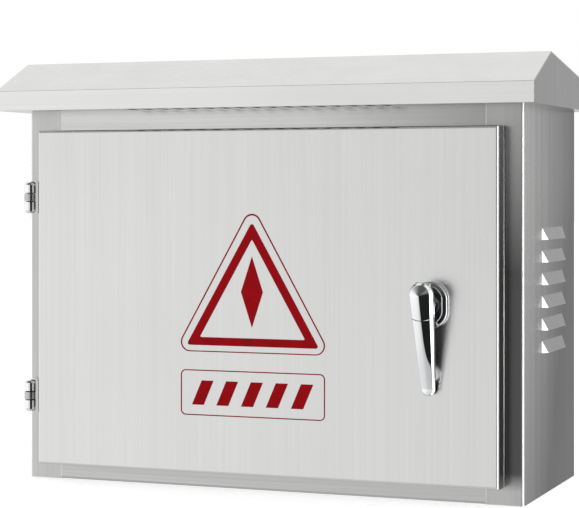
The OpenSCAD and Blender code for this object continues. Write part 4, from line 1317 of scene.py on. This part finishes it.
class CABINET_OT_studio(bpy.types.Operator):
    """Sets up the camera, the floor and the light"""

    bl_idname = "cabinet.studio"
    bl_label = "Studio"

    def execute(self, context):
        self.camera()
        self.floor()
        self.surroundings()
        bpy.context.scene.view_settings.view_transform = "Standard"
        return {"FINISHED"}

    def camera(self):
        """A level camera in front of the cabinet, to its right."""
        data = bpy.data.cameras.new("camera")
        data.lens = studio().lens
        data.shift_y = studio().drop
        made = bpy.data.objects.new("camera", data)
        made.location = studio().camera_place
        made.rotation_euler = (math.radians(90), 0.0, studio().camera_turn)
        bpy.context.scene.collection.objects.link(made)
        bpy.context.scene.camera = made

    def floor(self):
        """A wide pale floor just under the cabinet."""
        made, tree, surface = new_material("studio floor", Specular_IOR_Level=0.2)
        mottle = noise(tree, on_the_piece(tree), 12.0, 4.0)
        low = tuple(0.985 * c for c in studio().floor_tint)
        feed(tree, surface, blend_colours(tree, mottle, low, studio().floor_tint),
             spread(tree, mottle, 0.3, 0.7, 0.6, 0.7))
        surface.inputs["Emission Color"].default_value = (1.0, 1.0, 1.0, 1.0)
        surface.inputs["Emission Strength"].default_value = 0.66
        mesh = bmesh.new()
        bmesh.ops.create_grid(mesh, x_segments=8, y_segments=8, size=14.0)
        data = bpy.data.meshes.new("studio_floor")
        mesh.to_mesh(data)
        mesh.free()
        data.materials.append(made)
        floor = bpy.data.objects.new("studio_floor", data)
        floor.location.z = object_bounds()[0][2] - 0.3 * MM
        bpy.context.scene.collection.objects.link(floor)
        floor.visible_glossy = False
        floor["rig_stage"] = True

    def around(self, tree, turn, stops):
        """Light level by direction about the upright."""
        ramp = tree.nodes.new("ShaderNodeValToRGB")
        tree.links.new(turn, ramp.inputs["Fac"])
        points = ramp.color_ramp.elements
        points[0].position, points[1].position = stops[0][0], stops[-1][0]
        for where, _ in stops[1:-1]:
            points.new(where)
        for point, (where, level) in zip(points, stops):
            point.color = (level, level, level, 1.0)
        return ramp.outputs["Color"]

    def surroundings(self):
        """The room's light, which falls off upwards and downwards, on a white backdrop."""
        world = bpy.data.worlds.new("studio")
        bpy.context.scene.world = world
        world.use_nodes = True
        tree = world.node_tree
        direction = tree.nodes.new("ShaderNodeTexCoord").outputs["Generated"]
        around = shader(tree, "ShaderNodeTexGradient", {"Vector": direction},
                        gradient_type="RADIAL").outputs["Fac"]
        level = self.around(tree, around, ROOM)
        above = self.around(tree, around, CEILING)
        height = shader(tree, "ShaderNodeSeparateXYZ", {0: direction}).outputs["Z"]
        upward = spread(tree, height, 0.16, 0.55, 0.0, 1.0)
        downward = spread(tree, height, -0.65, -0.3, 0.70, 1.0)
        sky = blend_colours(tree, upward, level, above)
        sky = shader(tree, "ShaderNodeVectorMath", {0: sky, "Scale": downward},
                     operation="SCALE").outputs[0]
        seen = tree.nodes.new("ShaderNodeLightPath").outputs["Is Camera Ray"]
        backdrop = blend_colours(tree, seen, sky, (1.0, 1.0, 1.0))
        background = tree.nodes["Background"]
        tree.links.new(backdrop, background.inputs["Color"])
        background.inputs["Strength"].default_value = 1.0


class CABINET_PT_panel(bpy.types.Panel):
    """Lists the steps in the sidebar"""

    bl_idname = "CABINET_PT_panel"
    bl_label = "Switchboard cabinet"
    bl_space_type = "VIEW_3D"
    bl_region_type = "UI"
    bl_category = "Cabinet"

    def draw(self, context):
        for step in STEPS:
            self.layout.operator(step.bl_idname)
        for group in (finishes(), sizes(), studio()):
            box = self.layout.box()
            for name in group.bl_rna.properties.keys():
                if name not in ("rna_type", "name"):
                    box.prop(group, name)


STEPS = (CABINET_OT_studio, CABINET_OT_body, CABINET_OT_hood, CABINET_OT_door, CABINET_OT_warning,
         CABINET_OT_seals, CABINET_OT_hinges, CABINET_OT_fasteners, CABINET_OT_handle,
         CABINET_OT_rear_equipment, CABINET_OT_breakers, CABINET_OT_terminals)
GROUPS = {"cabinet_finishes": CabinetFinishes, "cabinet_sizes": CabinetSizes,
          "cabinet_studio": CabinetStudio}
finish = {}                              # filled by main() before the operators run


def register():
    """Adds the settings, the operators and the panel."""
    for name, group in GROUPS.items():
        bpy.utils.register_class(group)
        setattr(bpy.types.Scene, name, PointerProperty(type=group))
    for kind in (*STEPS, CABINET_PT_panel):
        bpy.utils.register_class(kind)


def unregister():
    """Takes the panel, the operators and the settings away again."""
    for kind in (CABINET_PT_panel, *reversed(STEPS)):
        bpy.utils.unregister_class(kind)
    for name, group in GROUPS.items():
        delattr(bpy.types.Scene, name)
        bpy.utils.unregister_class(group)


def main():
    """Builds everything."""
    register()
    finish.update(build_finishes())
    for step in STEPS:
        family, name = step.bl_idname.split(".")
        getattr(getattr(bpy.ops, family), name)()


if __name__ == "__main__":
    main()
